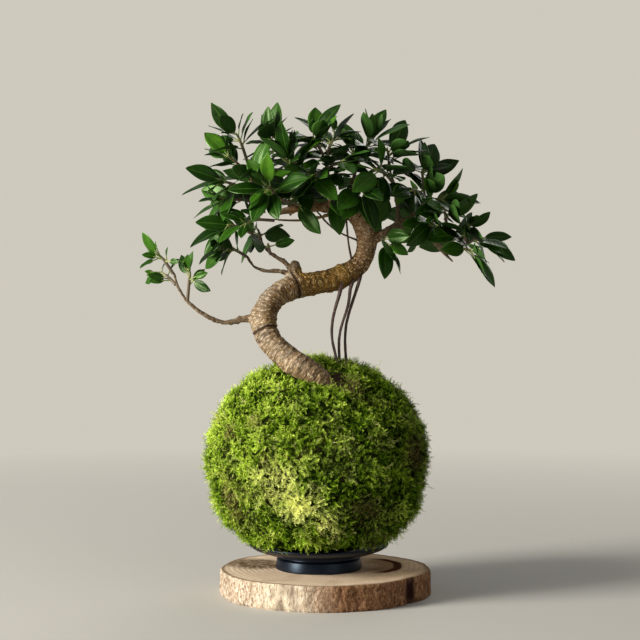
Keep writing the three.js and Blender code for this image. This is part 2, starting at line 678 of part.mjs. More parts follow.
// All leafy shoots: every twig is placed first, then each leaf takes the first clear pose
function leafyShoots(woody) {
  const twigs = [];
  SHOOTS.forEach((shoot) => {
    twigs.push(twigOf(shoot, [...woody, ...twigs.map((twig) => boxed(twig.solid))]));
  });
  const pieces = twigs.map((twig) => [boxed(twig.solid)]);
  const most = Math.max(...SHOOTS.map((shoot) => shoot.leaves));
  for (let index = 0; index < most; index += 1) {
    SHOOTS.forEach((shoot, which) => {
      if (index >= shoot.leaves) {
        return;
      }
      const others = [...woody, ...pieces.filter((_, i) => i !== which).flat()];
      const draw = draws(FIRST_SEED + which * SHOOT_SEED_STEP + index * LEAF_SEED_STEP);
      const poseOf = index < (shoot.tips ?? []).length ? aimedPose : leafPose;
      for (let attempt = 0; attempt < LEAF_TRIES; attempt += 1) {
        const leaf = leafSolid(poseOf(twigs[which].curve, index, shoot, attempt, draw));
        if (!crossesOwn(leaf, pieces[which].slice(1)) && clears(leaf, others, GAP)) {
          pieces[which].push(boxed(leaf));
          return;
        }
      }
    });
  }
  return pieces.map((group) => tidy(wasm.Manifold.union(group.map((piece) => piece.solid))));
}

const BARK = new THREE.MeshStandardMaterial({ color: 0x96794f, roughness: 0.85 });
const ROOT_BARK = new THREE.MeshStandardMaterial({ color: 0x573a30, roughness: 0.8 });
const LEAF = new THREE.MeshStandardMaterial({ color: 0x2b5520, roughness: 0.4 });
const MOSS = new THREE.MeshStandardMaterial({ color: 0x6f8a26, roughness: 1 });
const SOIL = new THREE.MeshStandardMaterial({ color: 0x4a3524, roughness: 1 });
const BLACK = new THREE.MeshStandardMaterial({ color: 0x17181a, roughness: 0.4 });
const WOOD = new THREE.MeshStandardMaterial({ color: 0xcbb088, roughness: 0.8 });

const plant = new THREE.Group();

function addPiece(name, solid, material) {
  const mesh = new THREE.Mesh(geometryOf(solid), material);
  mesh.name = name;
  plant.add(mesh);
}

// Ball: the moss shell and the soil inside it keep clear of the foot and the roots that stand in them
const wideTrunk = trunkWithLimbs(HOLE_GAP);
const rootSolids = Object.values(ROOTS).map((stops) => rootOutside(stops, wideTrunk));
const wideRoots = Object.values(ROOTS).map((stops) => aerialRoot(stops, HOLE_GAP));
const holes = wasm.Manifold.union([trunkBody(HOLE_GAP), ...wideRoots]);
const trunk = trunkWithLimbs();
const moss = ballSolid(BALL_COLUMNS, BALL_ROWS, 0, BALL_LUMPS)
  .subtract(ballSolid(SOIL_COLUMNS, SOIL_ROWS, MOSS_THICKNESS, []))
  .subtract(mossOpening())
  .subtract(holes);
const soil = soilSolid().subtract(holes);

addPiece("wood_slice", woodSlice(), WOOD);
addPiece("footed_dish", footedDish(), BLACK);
addPiece("soil_ball", tidy(soil), SOIL);
addPiece("moss_cover", tidy(moss), MOSS);
addPiece("trunk", trunk, BARK);
Object.keys(ROOTS).forEach((name, i) => addPiece(name, rootSolids[i], ROOT_BARK));
const shoots = leafyShoots([trunk, ...rootSolids, moss].map(boxed));
shoots.forEach((shoot, i) => {
  addPiece("leafy_shoot_" + String(i + 1).padStart(2, "0"), shoot, LEAF);
});

export default plant;
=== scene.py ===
# Kokedama: a small fig bonsai with an S-shaped trunk that grows from a moss ball,
# in a low footed dish on a round slice of wood.
# Metres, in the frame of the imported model: +Z up, +X to the viewer's right, +Y away from the viewer.
import math

import bmesh
import bpy
import numpy as np
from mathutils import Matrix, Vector, noise
from numpy.linalg import norm


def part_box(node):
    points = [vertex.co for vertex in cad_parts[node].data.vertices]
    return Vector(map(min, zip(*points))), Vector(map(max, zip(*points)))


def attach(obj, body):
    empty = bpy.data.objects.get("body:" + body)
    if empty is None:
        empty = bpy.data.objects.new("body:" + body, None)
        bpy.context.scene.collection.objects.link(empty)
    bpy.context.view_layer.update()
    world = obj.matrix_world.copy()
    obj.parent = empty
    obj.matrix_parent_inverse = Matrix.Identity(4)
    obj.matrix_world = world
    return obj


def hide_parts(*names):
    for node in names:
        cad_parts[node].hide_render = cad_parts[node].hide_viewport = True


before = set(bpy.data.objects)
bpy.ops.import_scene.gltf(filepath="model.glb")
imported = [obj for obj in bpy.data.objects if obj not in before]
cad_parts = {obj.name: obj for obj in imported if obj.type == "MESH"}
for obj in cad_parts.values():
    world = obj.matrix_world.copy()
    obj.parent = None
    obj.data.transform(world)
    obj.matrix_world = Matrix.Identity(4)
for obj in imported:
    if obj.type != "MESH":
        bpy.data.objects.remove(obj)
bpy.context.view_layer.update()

MM = 0.001

# Viewpoint: level, at the height of the plant's lower bend, through a long lens
CAMERA_PLACE = (-3.9 * MM, -1333 * MM, 242.5 * MM)
CAMERA_LENS = 84.3
SENSOR_WIDTH = 36

# Stage: half width of the floor, where it fades out, its colour, the background and the light from all round
FLOOR_SPAN = 4
FLOOR_FADE = (0.3, 1.5)
FLOOR_COLOUR = (0.46, 0.44, 0.395)
BACKGROUND = (0.62, 0.585, 0.51)
ROOM_LIGHT = 0.265
# Lights: the place they are aimed at, then place, size, power and colour of each
LIGHT_AIM = (0, 0, 0.22)
LIGHTS = {
    "window": ((-2.3, -1.1, 0.95), (0.9, 1.6), 162, (1, 0.98, 0.93)),
    "fill": ((1.6, -1.9, 0.6), (1.4, 1.4), 5, (0.96, 0.98, 1)),
    "behind": ((0.9, 2.2, 1.4), (1.4, 1.4), 13, (1, 0.98, 0.95)),
}

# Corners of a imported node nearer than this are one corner
MERGE_DISTANCE = 0.01 * MM

# Wood slice: its finer mesh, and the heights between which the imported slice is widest
SLICE_COLUMNS = 432
SLICE_BARK_ROWS = 22
SLICE_TOP_ROWS = 16
SLICE_UNDER_ROWS = 3
SLICE_SHARP = math.radians(50)
SLICE_WAIST = (5 * MM, 15 * MM)
# Its bark: relief, how far it stands out at most, how it rounds off at its edges, and the gap in it
BARK_THICKNESS = 2.6 * MM
BARK_RELIEF = 1.5 * MM
BARK_MOST_OUT = 1.1 * MM
BARK_EDGE_ROUND = 0.9 * MM
BARK_EDGE_SHARE = 0.09
BARK_GAP_ANGLE = math.radians(-35.5)
BARK_GAP_WIDTH = 0.085
BARK_GAP_DEPTH = 0.6 * BARK_THICKNESS
# Where the bark darkens along +X, partly its own colour and partly painted shade, how raggedly, and between
# which places it is cream, partly its own colour and partly painted light
DARK_BARK_AND_SHADE = (5 * MM, 31 * MM)
BARK_SHADE_RAGGED = 34 * MM
CREAM_LIT_BARK_FROM = (-66 * MM, -42 * MM)
CREAM_LIT_BARK_TO = (-14 * MM, 4 * MM)
# Its top: unevenness, growth rings, the dark arc with the brown wood inside it, a darker mottled blot at the
# back left, and the painted warm shade at the right
TOP_RELIEF = 0.25 * MM
TOP_MOST_OUT = 0.1 * MM
PITH = (22 * MM, 12 * MM)
RING_SPACING = 4.8 * MM
RING_WARP = 9 * MM
DARK_ARC_RADIUS = 50 * MM
DARK_ARC_REACH = math.radians(66)
ARC_HALF_WIDTH = (3.2 * MM, 5 * MM)
INSIDE_ARC = (-34 * MM, -14 * MM)
DARK_BLOT_PLACE = (-64 * MM, 22 * MM, 22 * MM)
DARK_BLOT_REACH = 36 * MM
WARM_SHADE_X = (5 * MM, 45 * MM)
WARM_SHADE_Y = (-75 * MM, -40 * MM)

# Dish: its mesh and rounded corners, the foot with the hollow under it, the neck and the wall at the rim
DISH_SEGMENTS = 96
DISH_ROUND = 5
DISH_CORNER = 0.9 * MM
DISH_SHARP = math.radians(60)
FOOT_RADIUS = 38.5 * MM
FOOT_HEIGHT = 9.5 * MM
FOOT_TAPER = 1.2 * MM
FOOT_HOLLOW = 3 * MM
NECK_RADIUS = 34 * MM
RIM_WALL = 2.4 * MM

# Trunk centre line, foot to fork, for the direction of its bark
TRUNK_LINE = [
    (5, -36, 165), (4, -44, 177), (0, -51, 188), (-9, -55, 197), (-23, -54, 203.5), (-37, -49, 214.5),
    (-48, -44, 225.5), (-53, -38, 240), (-48, -30, 258), (-38, -25, 267), (-26, -19, 271.5), (-7, -10, 275),
    (12, -2, 279), (25, 3, 286), (34, 5, 295), (38, 6, 308), (36, 5, 320), (29, 3, 334),
    (16, 1, 342), (0, 0, 343), (-18, -4, 342),
]
TRUNK_LINE_SAMPLES = 420
TRUNK_FOOT_STOPS = 8
TRUNK_FOOT_SAMPLES = 60
TRUNK_VOXEL = 0.8 * MM
TRUNK_BLOCK = 20000
# Bark of the trunk: how far it reaches from the line, its relief, and the radius under which that shrinks
BARK_REACH = 13 * MM
BARK_SWELL = 0.12 * MM
RING_WOBBLE = 1.6 * MM
RING_RELIEF = 0.55 * MM
KNOT_RELIEF = 0.25 * MM
WART_RELIEF = 2.4 * MM
WARTS_ABOVE = 0.28
THIN_LIMB = 4 * MM
GROOVES_AT = ((-51, -41, 232), (-26, -19, 271.5))
GROOVE_DEPTH = 0.8 * MM
GROOVE_WIDTH = 1.3 * MM
UPPER_BARK_BLEND = 6 * MM
# Lengths along the trunk over which its bark loses its reddish foot, turns paler, and at the top pinkish
FOOT_BARK = (22 * MM, 38 * MM)
PALE_BARK = (60 * MM, 105 * MM)
TOP_BARK = (205 * MM, 235 * MM)
# Side that faces the light, where a pale sheen is painted on the lower trunk's bark, and how squarely it faces
# there: not at all, and fully
PAINTED_SHEEN_SIDE = (-0.8, -0.5, 0.5)
PAINTED_SHEEN_FROM = (0.3, 1)
# Roots: length of each end that grows on into trunk or soil, how far it does, and the bumps between
ROOT_END = 3 * MM
ROOT_GROWTH = 2.2 * MM
ROOT_BUMPS = 0.16 * MM
ROOT_SHRINK = 0.12 * MM

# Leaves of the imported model: two stations along the blade, the width at the far one, the arch of the blade
# and the petiole, then the limits that tell a leaf's tip from other corners
NEAR_STATION = 0.3
FAR_STATION = 0.7
FAR_STATION_WIDTH = 0.84
LEAF_ARCH = 0.16
PETIOLE_LENGTH = 6.5 * MM
LEAF_TIP_ANGLE = math.radians(100)
LEAF_THIN = 1.6 * MM
LEAF_WIDE = 3 * MM
LEAF_HALF_WIDTH_LIMIT = 0.4
# Cosine between triangles of one flat face, and how evenly the corners of a twig's end lie round it
FLAT_COSINE = 0.9999
TWIG_END_SPREAD = 0.1

# Finer leaves
SHOOT_SEED = 5
LEAF_ROWS = 12
LEAF_COLUMNS = 6
LEAF_THICKNESS = 0.32 * MM
LEAF_FOLD = 0.2
LEAF_CURL = (-0.1, 0.35)
LEAF_MIDRIB_DEPTH = 0.22 * MM
LEAF_EDGE_WAVE = 0.5 * MM
LEAF_TONE = (0.28, 0.23)
LEAF_TONE_LIMIT = 0.76
YOUNG_TONE = 0.45
PETIOLE_RADIUS = 0.62 * MM
PETIOLE_WIDTHS = np.array([1.25, 1.1, 1, 0.95, 0.9, 0.7, 0.3])
PETIOLE_OVERLAP = 2.5 * MM
STALK_SIDES = 6
TWIG_SIDES = 8
TWIG_TAPER = 0.72
TWIG_STOP_SPACING = 2 * MM
TWIG_STOP_SAMPLES = 4
TWIG_SUNK = 2 * MM
BUD_LENGTH = 5 * MM
BUD_SHARE = 0.14
# Smaller leaves of a shoot: how far along its twig, and their share of its mean leaf
YOUNG_LEAVES = [(0.4, 0.9), (0.65, 0.85), (0.92, 0.6), (0.97, 0.45)]
YOUNG_LEAF_TRIES = 8
# Their half width at a length of 1, how their lengths vary, and the angles they make with the twig
YOUNG_HALF_WIDTH = 0.26
YOUNG_LENGTH = (0.85, 1.15)
YOUNG_OPENING = (0.5, 1.05)
# More of them where the crown is thickest
THICK_LEAVES = [(0.15, 1), (0.3, 1), (0.55, 0.95), (0.8, 0.9)]
THICK_REACH = 62 * MM
THICK_MIDDLE = np.array([-8, -8, 392]) * MM
# Space in front of and under the left limb where no more leaves hang
BARE_LIMB = np.array([(-60, -100, 290), (60, 0, 362)]) * MM
CROWN_MIDDLE = np.array([5, 10, 330]) * MM

# Moss shoots on the ball: number, size, how steeply they stand, and the few that stray
BALL_CENTRE = np.array([-6.5, 0, 122.5]) * MM
MOSS_SEED = 11
MOSS_SHOOTS = 24000
MOSS_PIECES = 4
MOSS_PAIRS = 5
MOSS_LENGTH = (4.5 * MM, 8.5 * MM)
MOSS_STEEPNESS = (math.radians(4), math.radians(48))
MOSS_BRANCH_WIDTH = 0.3 * MM
MOSS_STRAYS = 0.006
STRAY_LENGTH = 1.5
STRAY_STEEPNESS = (math.radians(30), math.radians(65))
MOSS_SUNK = 1.6 * MM
MOSS_CLUMP = 17 * MM
MOSS_CLUMP_DEPTH = 3.4 * MM
MOSS_PROUD = 4.6 * MM
MOSS_TRUNK_GAP = 9.5 * MM
# Gaps that moss keeps over and beside the rim of the dish, and how far it may hang below the rim
RIM_GAP_OVER = 1 * MM
RIM_GAP_BESIDE = 2 * MM
MOSS_HANGS = 4 * MM
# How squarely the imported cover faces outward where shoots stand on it, and where its bed is lumpy
SHOOTS_FACING = 0.55
BED_FACING = 0.3
# Bed under them: its lumps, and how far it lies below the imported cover
BED_LUMPS = 1.2 * MM
BED_SUNK = 1.3 * MM
# Shades of the moss: mean, spread, and the shares of clumps, painted lighter on their tops and darker in the
# dips, of painted light on the side that faces the light, and of the patches below
MOSS_TONE = 0.15
MOSS_TONE_SPREAD = 0.24
BRANCH_TONE_SPREAD = 0.09
CLUMP_TONE = 0.8
SUN_TONE = 0.42
MOSS_SUN = (-0.9, -0.2, 0.4)
LIGHT_TONE = 0.11
MOSS_SHADE_TONE = 0.17
DRY_SHARE = 0.8
PALE_SHARE = 0.028
PALE_STRENGTH = 0.75
# Share of its reach at which a patch has faded out
PATCH_END = 1.35
# Places on the ball and their reach, in mm, of moss that is dry and brown, and of painted sunlight that makes
# it bright lime
DRY_PATCHES = [
    (-44, -82, 127, 9), (-79, -54, 145, 7), (38, -83, 80, 15), (78, -48, 126, 17), (24, -60, 186, 12),
]
SUNLIT_PATCHES = [
    (-58, -74, 118, 15), (-38, -86, 106, 18), (-20, -90, 91, 18), (-2, -86, 69, 15), (6, -80, 58, 10),
]
# Places on the ball where shade is painted as darker moss, and where the moss is lighter
MOSS_SHADE_PATCHES = [(28, -80, 158, 17), (28, -86, 132, 18)]
LIGHT_PATCHES = [(-37, -84, 143, 24), (-24, -88, 118, 18)]

# Opening in the moss at the trunk's foot: middle, half width and half depth, and its gap to the trunk
OPENING_MIDDLE = np.array([9, -49]) * MM
OPENING_HALF = np.array([19, 12]) * MM
OPENING_TRUNK_GAP = 8 * MM
# Places tried on the upper soil for each one wanted in the opening, and how squarely that soil faces up
OPENING_TRIES = 60
SOIL_FACING_UP = 0.3
# What lies and grows in it
SOIL_SEED = 3
LIP_SHOOTS = 420
CRUMBS = 300
CRUMB_RADIUS = (0.5 * MM, 1.5 * MM)
FIBRES = 70
FIBRE_SIDES = 4
FIBRE_RINGS = 8
FIBRE_RADIUS = 0.2 * MM
FIBRE_SPAN = (4 * MM, 9 * MM)
FIBRE_RISE = 1.4 * MM
# Where moss, crumbs and fibres are in the opening, as shares of the way from its middle to its edge
LIP_RANGE = (0.45, 1.1)
CRUMB_RANGE = (0, 1.05)
FIBRE_RANGE = (0, 1)


# Directions and noise

def unit(vector):
    return vector / norm(vector)


def units(rows):
    return rows / norm(rows, axis=1, keepdims=True)


def angle_between(a, b):
    return math.acos(np.clip(a.dot(b) / (norm(a) * norm(b)), -1, 1))


def fractal(point, scale, octaves):
    return noise.fractal(Vector(point) * scale, 1.0, 2.0, octaves)


def fractals(points, scale, octaves):
    return np.array([fractal(point, scale, octaves) for point in points])


def smooth_line(stops, count):
    """Catmull-Rom curve through points, at evenly spaced parameters."""
    stops = np.asarray(stops, dtype=float)
    padded = np.vstack([2 * stops[0] - stops[1], stops, 2 * stops[-1] - stops[-2]])
    result = []
    for value in np.linspace(0, len(stops) - 1, count):
        index = min(int(value), len(stops) - 2)
        t = value - index
        a, b, c, d = padded[index:index + 4]
        curve = 2 * b + (c - a) * t + (2 * a - 5 * b + 4 * c - d) * t ** 2 + (3 * b - a - 3 * c + d) * t ** 3
        result.append(0.5 * curve)
    return np.array(result)


# Meshes

def make_mesh(name, points, faces):
    mesh = bpy.data.meshes.new(name)
    faces = faces.tolist() if isinstance(faces, np.ndarray) else faces
    mesh.from_pydata(np.asarray(points, dtype=float).tolist(), [], faces)
    return mesh


def make_piece(name, mesh, materials, values=None, smooth=True, sharp=None, face_materials=None):
    """Object of the scene from a mesh, with its materials and shading values, creased at the angle sharp."""
    for material in materials:
        mesh.materials.append(material)
    for key, column in (values or {}).items():
        column = np.asarray(column, dtype=np.float32)
        kind, field = ("FLOAT_VECTOR", "vector") if column.ndim == 2 else ("FLOAT", "value")
        mesh.attributes.new(key, kind, "POINT").data.foreach_set(field, column.ravel())
    if face_materials is not None:
        mesh.polygons.foreach_set("material_index", np.asarray(face_materials, dtype=np.int32))
    mesh.polygons.foreach_set("use_smooth", np.full(len(mesh.polygons), smooth))
    if sharp:
        mesh.set_sharp_from_angle(angle=sharp)
    mesh.update()
    piece = bpy.data.objects.new(name, mesh)
    bpy.context.scene.collection.objects.link(piece)
    return piece


def place(piece, slot, *nodes):
    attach(piece, "root")
    if nodes:
        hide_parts(*nodes)


def joined_mesh(node):
    """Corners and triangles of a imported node, with doubled corners joined."""
    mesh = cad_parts[node].data
    coords = np.zeros(len(mesh.vertices) * 3, np.float32)
    mesh.vertices.foreach_get("co", coords)
    mesh.calc_loop_triangles()
    triangles = np.zeros(len(mesh.loop_triangles) * 3, np.int32)
    mesh.loop_triangles.foreach_get("vertices", triangles)
    coords = coords.reshape(-1, 3).astype(float)
    keys = np.round(coords / MERGE_DISTANCE).astype(np.int64)
    _, first, inverse = np.unique(keys, axis=0, return_index=True, return_inverse=True)
    triangles = inverse.reshape(-1)[triangles].reshape(-1, 3)
    whole = (triangles[:, 0] != triangles[:, 1]) & (triangles[:, 1] != triangles[:, 2])
    whole &= triangles[:, 0] != triangles[:, 2]
    return coords[first], triangles[whole]


def refined_copy(name, node, levels, voxel, smoothing):
    """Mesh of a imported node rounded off: subdivided, remeshed evenly if voxel gives a size, and smoothed."""
    piece = make_piece(name, make_mesh(name, *joined_mesh(node)), [])
    divide = piece.modifiers.new("divide", "SUBSURF")
    divide.levels = levels
    divide.render_levels = levels
    if voxel:
        even = piece.modifiers.new("even", "REMESH")
        even.mode = "VOXEL"
        even.voxel_size = voxel
    relax = piece.modifiers.new("relax", "SMOOTH")
    relax.factor = 0.5
    relax.iterations = smoothing
    graph = bpy.context.evaluated_depsgraph_get()
    mesh = bpy.data.meshes.new_from_object(piece.evaluated_get(graph))
    bpy.data.objects.remove(piece)
    return mesh


def mesh_arrays(mesh):
    points = np.zeros(len(mesh.vertices) * 3)
    normals = np.zeros(len(mesh.vertices) * 3)
    mesh.vertices.foreach_get("co", points)
    mesh.vertices.foreach_get("normal", normals)
    return points.reshape(-1, 3), normals.reshape(-1, 3)


def triangle_normals(corners):
    """Normal of each triangle, twice as long as its area is large."""
    return np.cross(corners[:, 1] - corners[:, 0], corners[:, 2] - corners[:, 0])


def tube(centres, radii, sides):
    """Rings round a line of points, closed by a point at each end."""
    centres = np.asarray(centres, dtype=float)
    tangents = units(np.gradient(centres, axis=0))
    helper = np.array([0.0, 0.0, 1.0]) if abs(tangents[0][2]) < 0.9 else np.array([1.0, 0.0, 0.0])
    normal = np.cross(tangents[0], helper)
    points = [centres[0]]
    for centre, tangent, radius in zip(centres, tangents, radii):
        normal = unit(normal - tangent * normal.dot(tangent))
        binormal = np.cross(tangent, normal)
        for k in range(sides):
            angle = 2 * math.pi * k / sides
            points.append(centre + radius * (math.cos(angle) * normal + math.sin(angle) * binormal))
    points.append(centres[-1])
    faces = []
    for k in range(sides):
        after = (k + 1) % sides
        faces.append((0, 1 + after, 1 + k))
        for ring in range(len(centres) - 1):
            low = 1 + ring * sides
            high = low + sides
            faces.append((low + k, low + after, high + after))
            faces.append((low + k, high + after, high + k))
        last = 1 + (len(centres) - 1) * sides
        faces.append((last + k, last + after, len(points) - 1))
    return points, faces


# Shader nodes

class Nodes:
    """Short calls that add nodes to a material or world, each giving what comes out of its node."""

    def __init__(self, owner):
        owner.use_nodes = True
        self.owner = owner
        self.tree = owner.node_tree

    def feed(self, socket, value):
        if isinstance(value, bpy.types.NodeSocket):
            self.tree.links.new(value, socket)
        else:
            socket.default_value = value

    def add(self, kind, output, inputs, **settings):
        node = self.tree.nodes.new(kind)
        for key, value in settings.items():
            setattr(node, key, value)
        for key, value in inputs.items():
            self.feed(node.inputs[key], value)
        return node.outputs[output]

    def calc(self, operation, *values):
        return self.add("ShaderNodeMath", 0, dict(enumerate(values)), operation=operation)

    def plus(self, a, b):
        return self.calc("ADD", a, b)

    def minus(self, a, b):
        return self.calc("SUBTRACT", a, b)

    def times(self, a, b):
        return self.calc("MULTIPLY", a, b)

    def noise(self, vector, scale, detail=3, roughness=0.5, distortion=0):
        inputs = {"Vector": vector, "Scale": scale, "Detail": detail, "Roughness": roughness}
        return self.add("ShaderNodeTexNoise", "Fac", {**inputs, "Distortion": distortion})

    def remap(self, value, low, high, new_low=0, new_high=1):
        inputs = {"Value": value, "From Min": low, "From Max": high}
        return self.add("ShaderNodeMapRange", "Result", {**inputs, "To Min": new_low, "To Max": new_high})

    def ramp(self, factor, *stops):
        """Colour that runs through the stops, each a position followed by red, green and blue."""
        node = self.tree.nodes.new("ShaderNodeValToRGB")
        self.feed(node.inputs["Fac"], factor)
        ramp = node.color_ramp
        while len(ramp.elements) < len(stops):
            ramp.elements.new(1)
        for element, (position, *colour) in zip(ramp.elements, stops):
            element.position = position
            element.color = (*colour, 1)
        return node.outputs["Color"]

    def mix(self, factor, a, b):
        a, b = ((*colour, 1) if isinstance(colour, tuple) else colour for colour in (a, b))
        return self.add("ShaderNodeMix", "Result", {"Factor": factor, "A": a, "B": b}, data_type="RGBA")

    def over(self, colour, *layers):
        """A colour with others laid over it in turn, each a strength and a colour."""
        for strength, layer in layers:
            colour = self.mix(strength, colour, layer)
        return colour

    def bumps(self, relief):
        """Normal bent by layers of relief, each a height with its strength and distance."""
        inputs = {}
        for height, strength, distance in relief:
            inputs.update({"Height": height, "Strength": strength, "Distance": distance})
            inputs["Normal"] = self.add("ShaderNodeBump", "Normal", inputs)
        return inputs["Normal"]

    def attribute(self, name, output="Fac"):
        return self.add("ShaderNodeAttribute", output, {}, attribute_name=name)

    def spot(self):
        return self.add("ShaderNodeTexCoord", "Object", {})

    def axis(self, vector, name):
        return self.add("ShaderNodeSeparateXYZ", name, {0: vector})

    def stretch(self, vector, *scale):
        return self.add("ShaderNodeVectorMath", 0, {0: vector, 1: scale}, operation="MULTIPLY")

    def surface(self, colour, roughness, specular=0.5, tint=(1, 1, 1, 1), relief=()):
        inputs = {"Base Color": colour, "Roughness": roughness}
        inputs.update({"Specular IOR Level": specular, "Specular Tint": tint})
        if relief:
            inputs["Normal"] = self.bumps(relief)
        return self.add("ShaderNodeBsdfPrincipled", "BSDF", inputs)

    def blend(self, factor, a, b):
        return self.add("ShaderNodeMixShader", "Shader", {"Fac": factor, 1: a, 2: b})

    def finished(self, surface):
        """The material, with this shader as its surface."""
        output = self.tree.nodes.new("ShaderNodeOutputMaterial")
        self.tree.links.new(surface, output.inputs["Surface"])
        return self.owner


def new_material(name):
    make = Nodes(bpy.data.materials.new(name))
    make.tree.nodes.clear()
    return make


# Materials

def leaf_material():
    """Glossy dark green, with a pale midrib, fine side veins and a duller underside."""
    make = new_material("leaf_green")
    across = make.calc("ABSOLUTE", make.attribute("across"))
    below = make.attribute("underside")
    mottle = make.noise(make.spot(), 160, 3)
    blade = make.ramp(
        make.plus(make.times(mottle, 0.3), make.times(make.attribute("tone"), 0.85)),
        (0.1, 0.0025, 0.013, 0.001), (0.42, 0.011, 0.044, 0.0025),
        (0.75, 0.033, 0.105, 0.006), (1, 0.1, 0.2, 0.012),
    )
    phase = make.minus(make.times(make.attribute("lengthwise"), 17), make.times(across, 5))
    wave = make.calc("SINE", make.times(phase, math.pi))
    vein = make.calc("POWER", make.calc("ABSOLUTE", wave), 14)
    colour = make.over(
        blade, (make.times(vein, 0.1), (0.04, 0.12, 0.012)),
        (make.remap(across, 0.02, 0.075, 0.4, 0), (0.1, 0.21, 0.025)),
        # painted rim highlight: the blade lighter toward its edge
        (make.remap(across, 0.9, 0.98, 0, 0.55), (0.1, 0.19, 0.035)),
        (make.times(below, 0.7), (0.032, 0.085, 0.014)),
    )
    roughness = make.remap(make.plus(below, mottle), 0.3, 1.5, 0.24, 0.62)
    height = make.plus(make.times(vein, -0.5), make.times(mottle, 0.4))
    relief = [(height, 0.25, 0.12 * MM)]
    return make.finished(make.surface(colour, roughness, 0.24, (0.7, 1, 0.45, 1), relief))


def petiole_material():
    """Young green stalk that browns toward the wood."""
    make = new_material("stalk_green")
    mottle = make.noise(make.spot(), 420, 4)
    colour = make.ramp(
        make.plus(make.attribute("age"), make.times(make.minus(mottle, 0.5), 0.5)),
        (0, 0.3, 0.37, 0.1), (0.3, 0.19, 0.21, 0.06), (0.65, 0.14, 0.1, 0.05), (1, 0.11, 0.075, 0.045),
    )
    return make.finished(make.surface(colour, 0.55, relief=[(mottle, 0.4, 0.2 * MM)]))


def bark_material():
    """Tan bark of the trunk with rings, cracks, pale dashes, darker hollows and a painted pale sheen on the
    side that faces the light.

    It is reddish at its foot, golden with pale dots above the upper groove, and pinkish at the top.
    The limbs are a speckled grey-brown.
    """
    make = new_material("fig_bark")
    straight = make.attribute("bark", "Vector")
    upper = make.attribute("upper")
    along = make.axis(straight, "Z")
    broad = make.noise(straight, 55, 4, 0.6)
    fine = make.noise(straight, 900, 4, 0.65)
    rings = make.noise(make.stretch(straight, 1, 1, 6), 90, 4, 0.6)
    dashes = make.noise(make.stretch(straight, 1, 1, 4.2), 230, 4, 0.66)
    cracks = make.noise(make.stretch(straight, 1, 1, 2.2), 420, 4, 0.7, 0.5)
    dots = make.noise(make.stretch(straight, 1, 1, 1.4), 470, 2, 0.6)
    speckle = make.noise(make.spot(), 520, 4, 0.7)
    tan = make.ramp(broad, (0.3, 0.082, 0.039, 0.011), (0.5, 0.18, 0.099, 0.032), (0.7, 0.33, 0.205, 0.083))
    gold = make.ramp(broad, (0.3, 0.105, 0.047, 0.008), (0.5, 0.24, 0.12, 0.021), (0.7, 0.41, 0.228, 0.055))
    pink = make.ramp(broad, (0.3, 0.16, 0.075, 0.03), (0.5, 0.33, 0.185, 0.08), (0.7, 0.5, 0.33, 0.155))
    grey = make.ramp(speckle, (0.3, 0.07, 0.045, 0.026), (0.55, 0.16, 0.115, 0.07), (0.72, 0.32, 0.25, 0.17))
    near_top = make.remap(along, *TOP_BARK)
    ring = make.times(make.remap(rings, 0.5, 0.62, 0, 0.75), make.remap(upper, 0, 1, 1, 0.45))
    dash = make.times(make.remap(dashes, 0.54, 0.61, 0, 0.85), make.remap(upper, 0, 1, 1, 0.3))
    dot = make.times(make.remap(dots, 0.56, 0.62, 0, 0.9), upper)
    dot_colour = make.mix(near_top, (0.56, 0.4, 0.17), (0.8, 0.6, 0.4))
    # painted sheen: pale glints on the side of the lower trunk that faces the light
    painted_sheen = make.times(make.attribute("painted_sheen"), make.remap(dashes, 0.43, 0.57, 0.1, 0.74))
    colour = make.over(
        tan, (make.remap(along, *PALE_BARK, 0.25, 0), (0.45, 0.33, 0.205)),
        (upper, make.mix(near_top, gold, pink)),
        (make.remap(along, *FOOT_BARK, 0.75, 0), (0.27, 0.145, 0.1)),
        (ring, (0.06, 0.032, 0.013)),
        (make.remap(cracks, 0.54, 0.62, 0, 0.8), (0.055, 0.03, 0.016)),
        (make.calc("MAXIMUM", dash, dot), make.mix(upper, (0.68, 0.52, 0.34), dot_colour)),
        (make.remap(fine, 0.55, 0.75, 0, 0.4), (0.08, 0.048, 0.026)),
        (painted_sheen, (0.56, 0.47, 0.35)),
        # painted shade: darker in the hollows and grooves of the bark's relief
        (make.remap(make.attribute("hollow"), 0, 0.8, 0, 0.95), (0.035, 0.018, 0.009)),
        (make.times(make.attribute("limb"), 0.85), grey),
    )
    relief = [(rings, 0.9, 1.8 * MM), (dashes, 0.9, 1.1 * MM), (fine, 0.5, 0.35 * MM)]
    return make.finished(make.surface(colour, make.remap(fine, 0.3, 0.7, 0.62, 0.85), 0.07, relief=relief))


def root_material():
    """Dark red-brown aerial roots with faint pale specks."""
    make = new_material("aerial_root_bark")
    spot = make.spot()
    grain = make.noise(make.stretch(spot, 1, 1, 0.25), 700, 4)
    specks = make.noise(make.stretch(spot, 1, 1, 2), 900, 2)
    colour = make.ramp(
        grain, (0.3, 0.032, 0.015, 0.01), (0.55, 0.066, 0.033, 0.023), (0.75, 0.13, 0.078, 0.056),
    )
    colour = make.mix(make.remap(specks, 0.62, 0.7, 0, 0.6), colour, (0.3, 0.22, 0.17))
    return make.finished(make.surface(colour, 0.7, relief=[(grain, 0.6, 0.4 * MM)]))


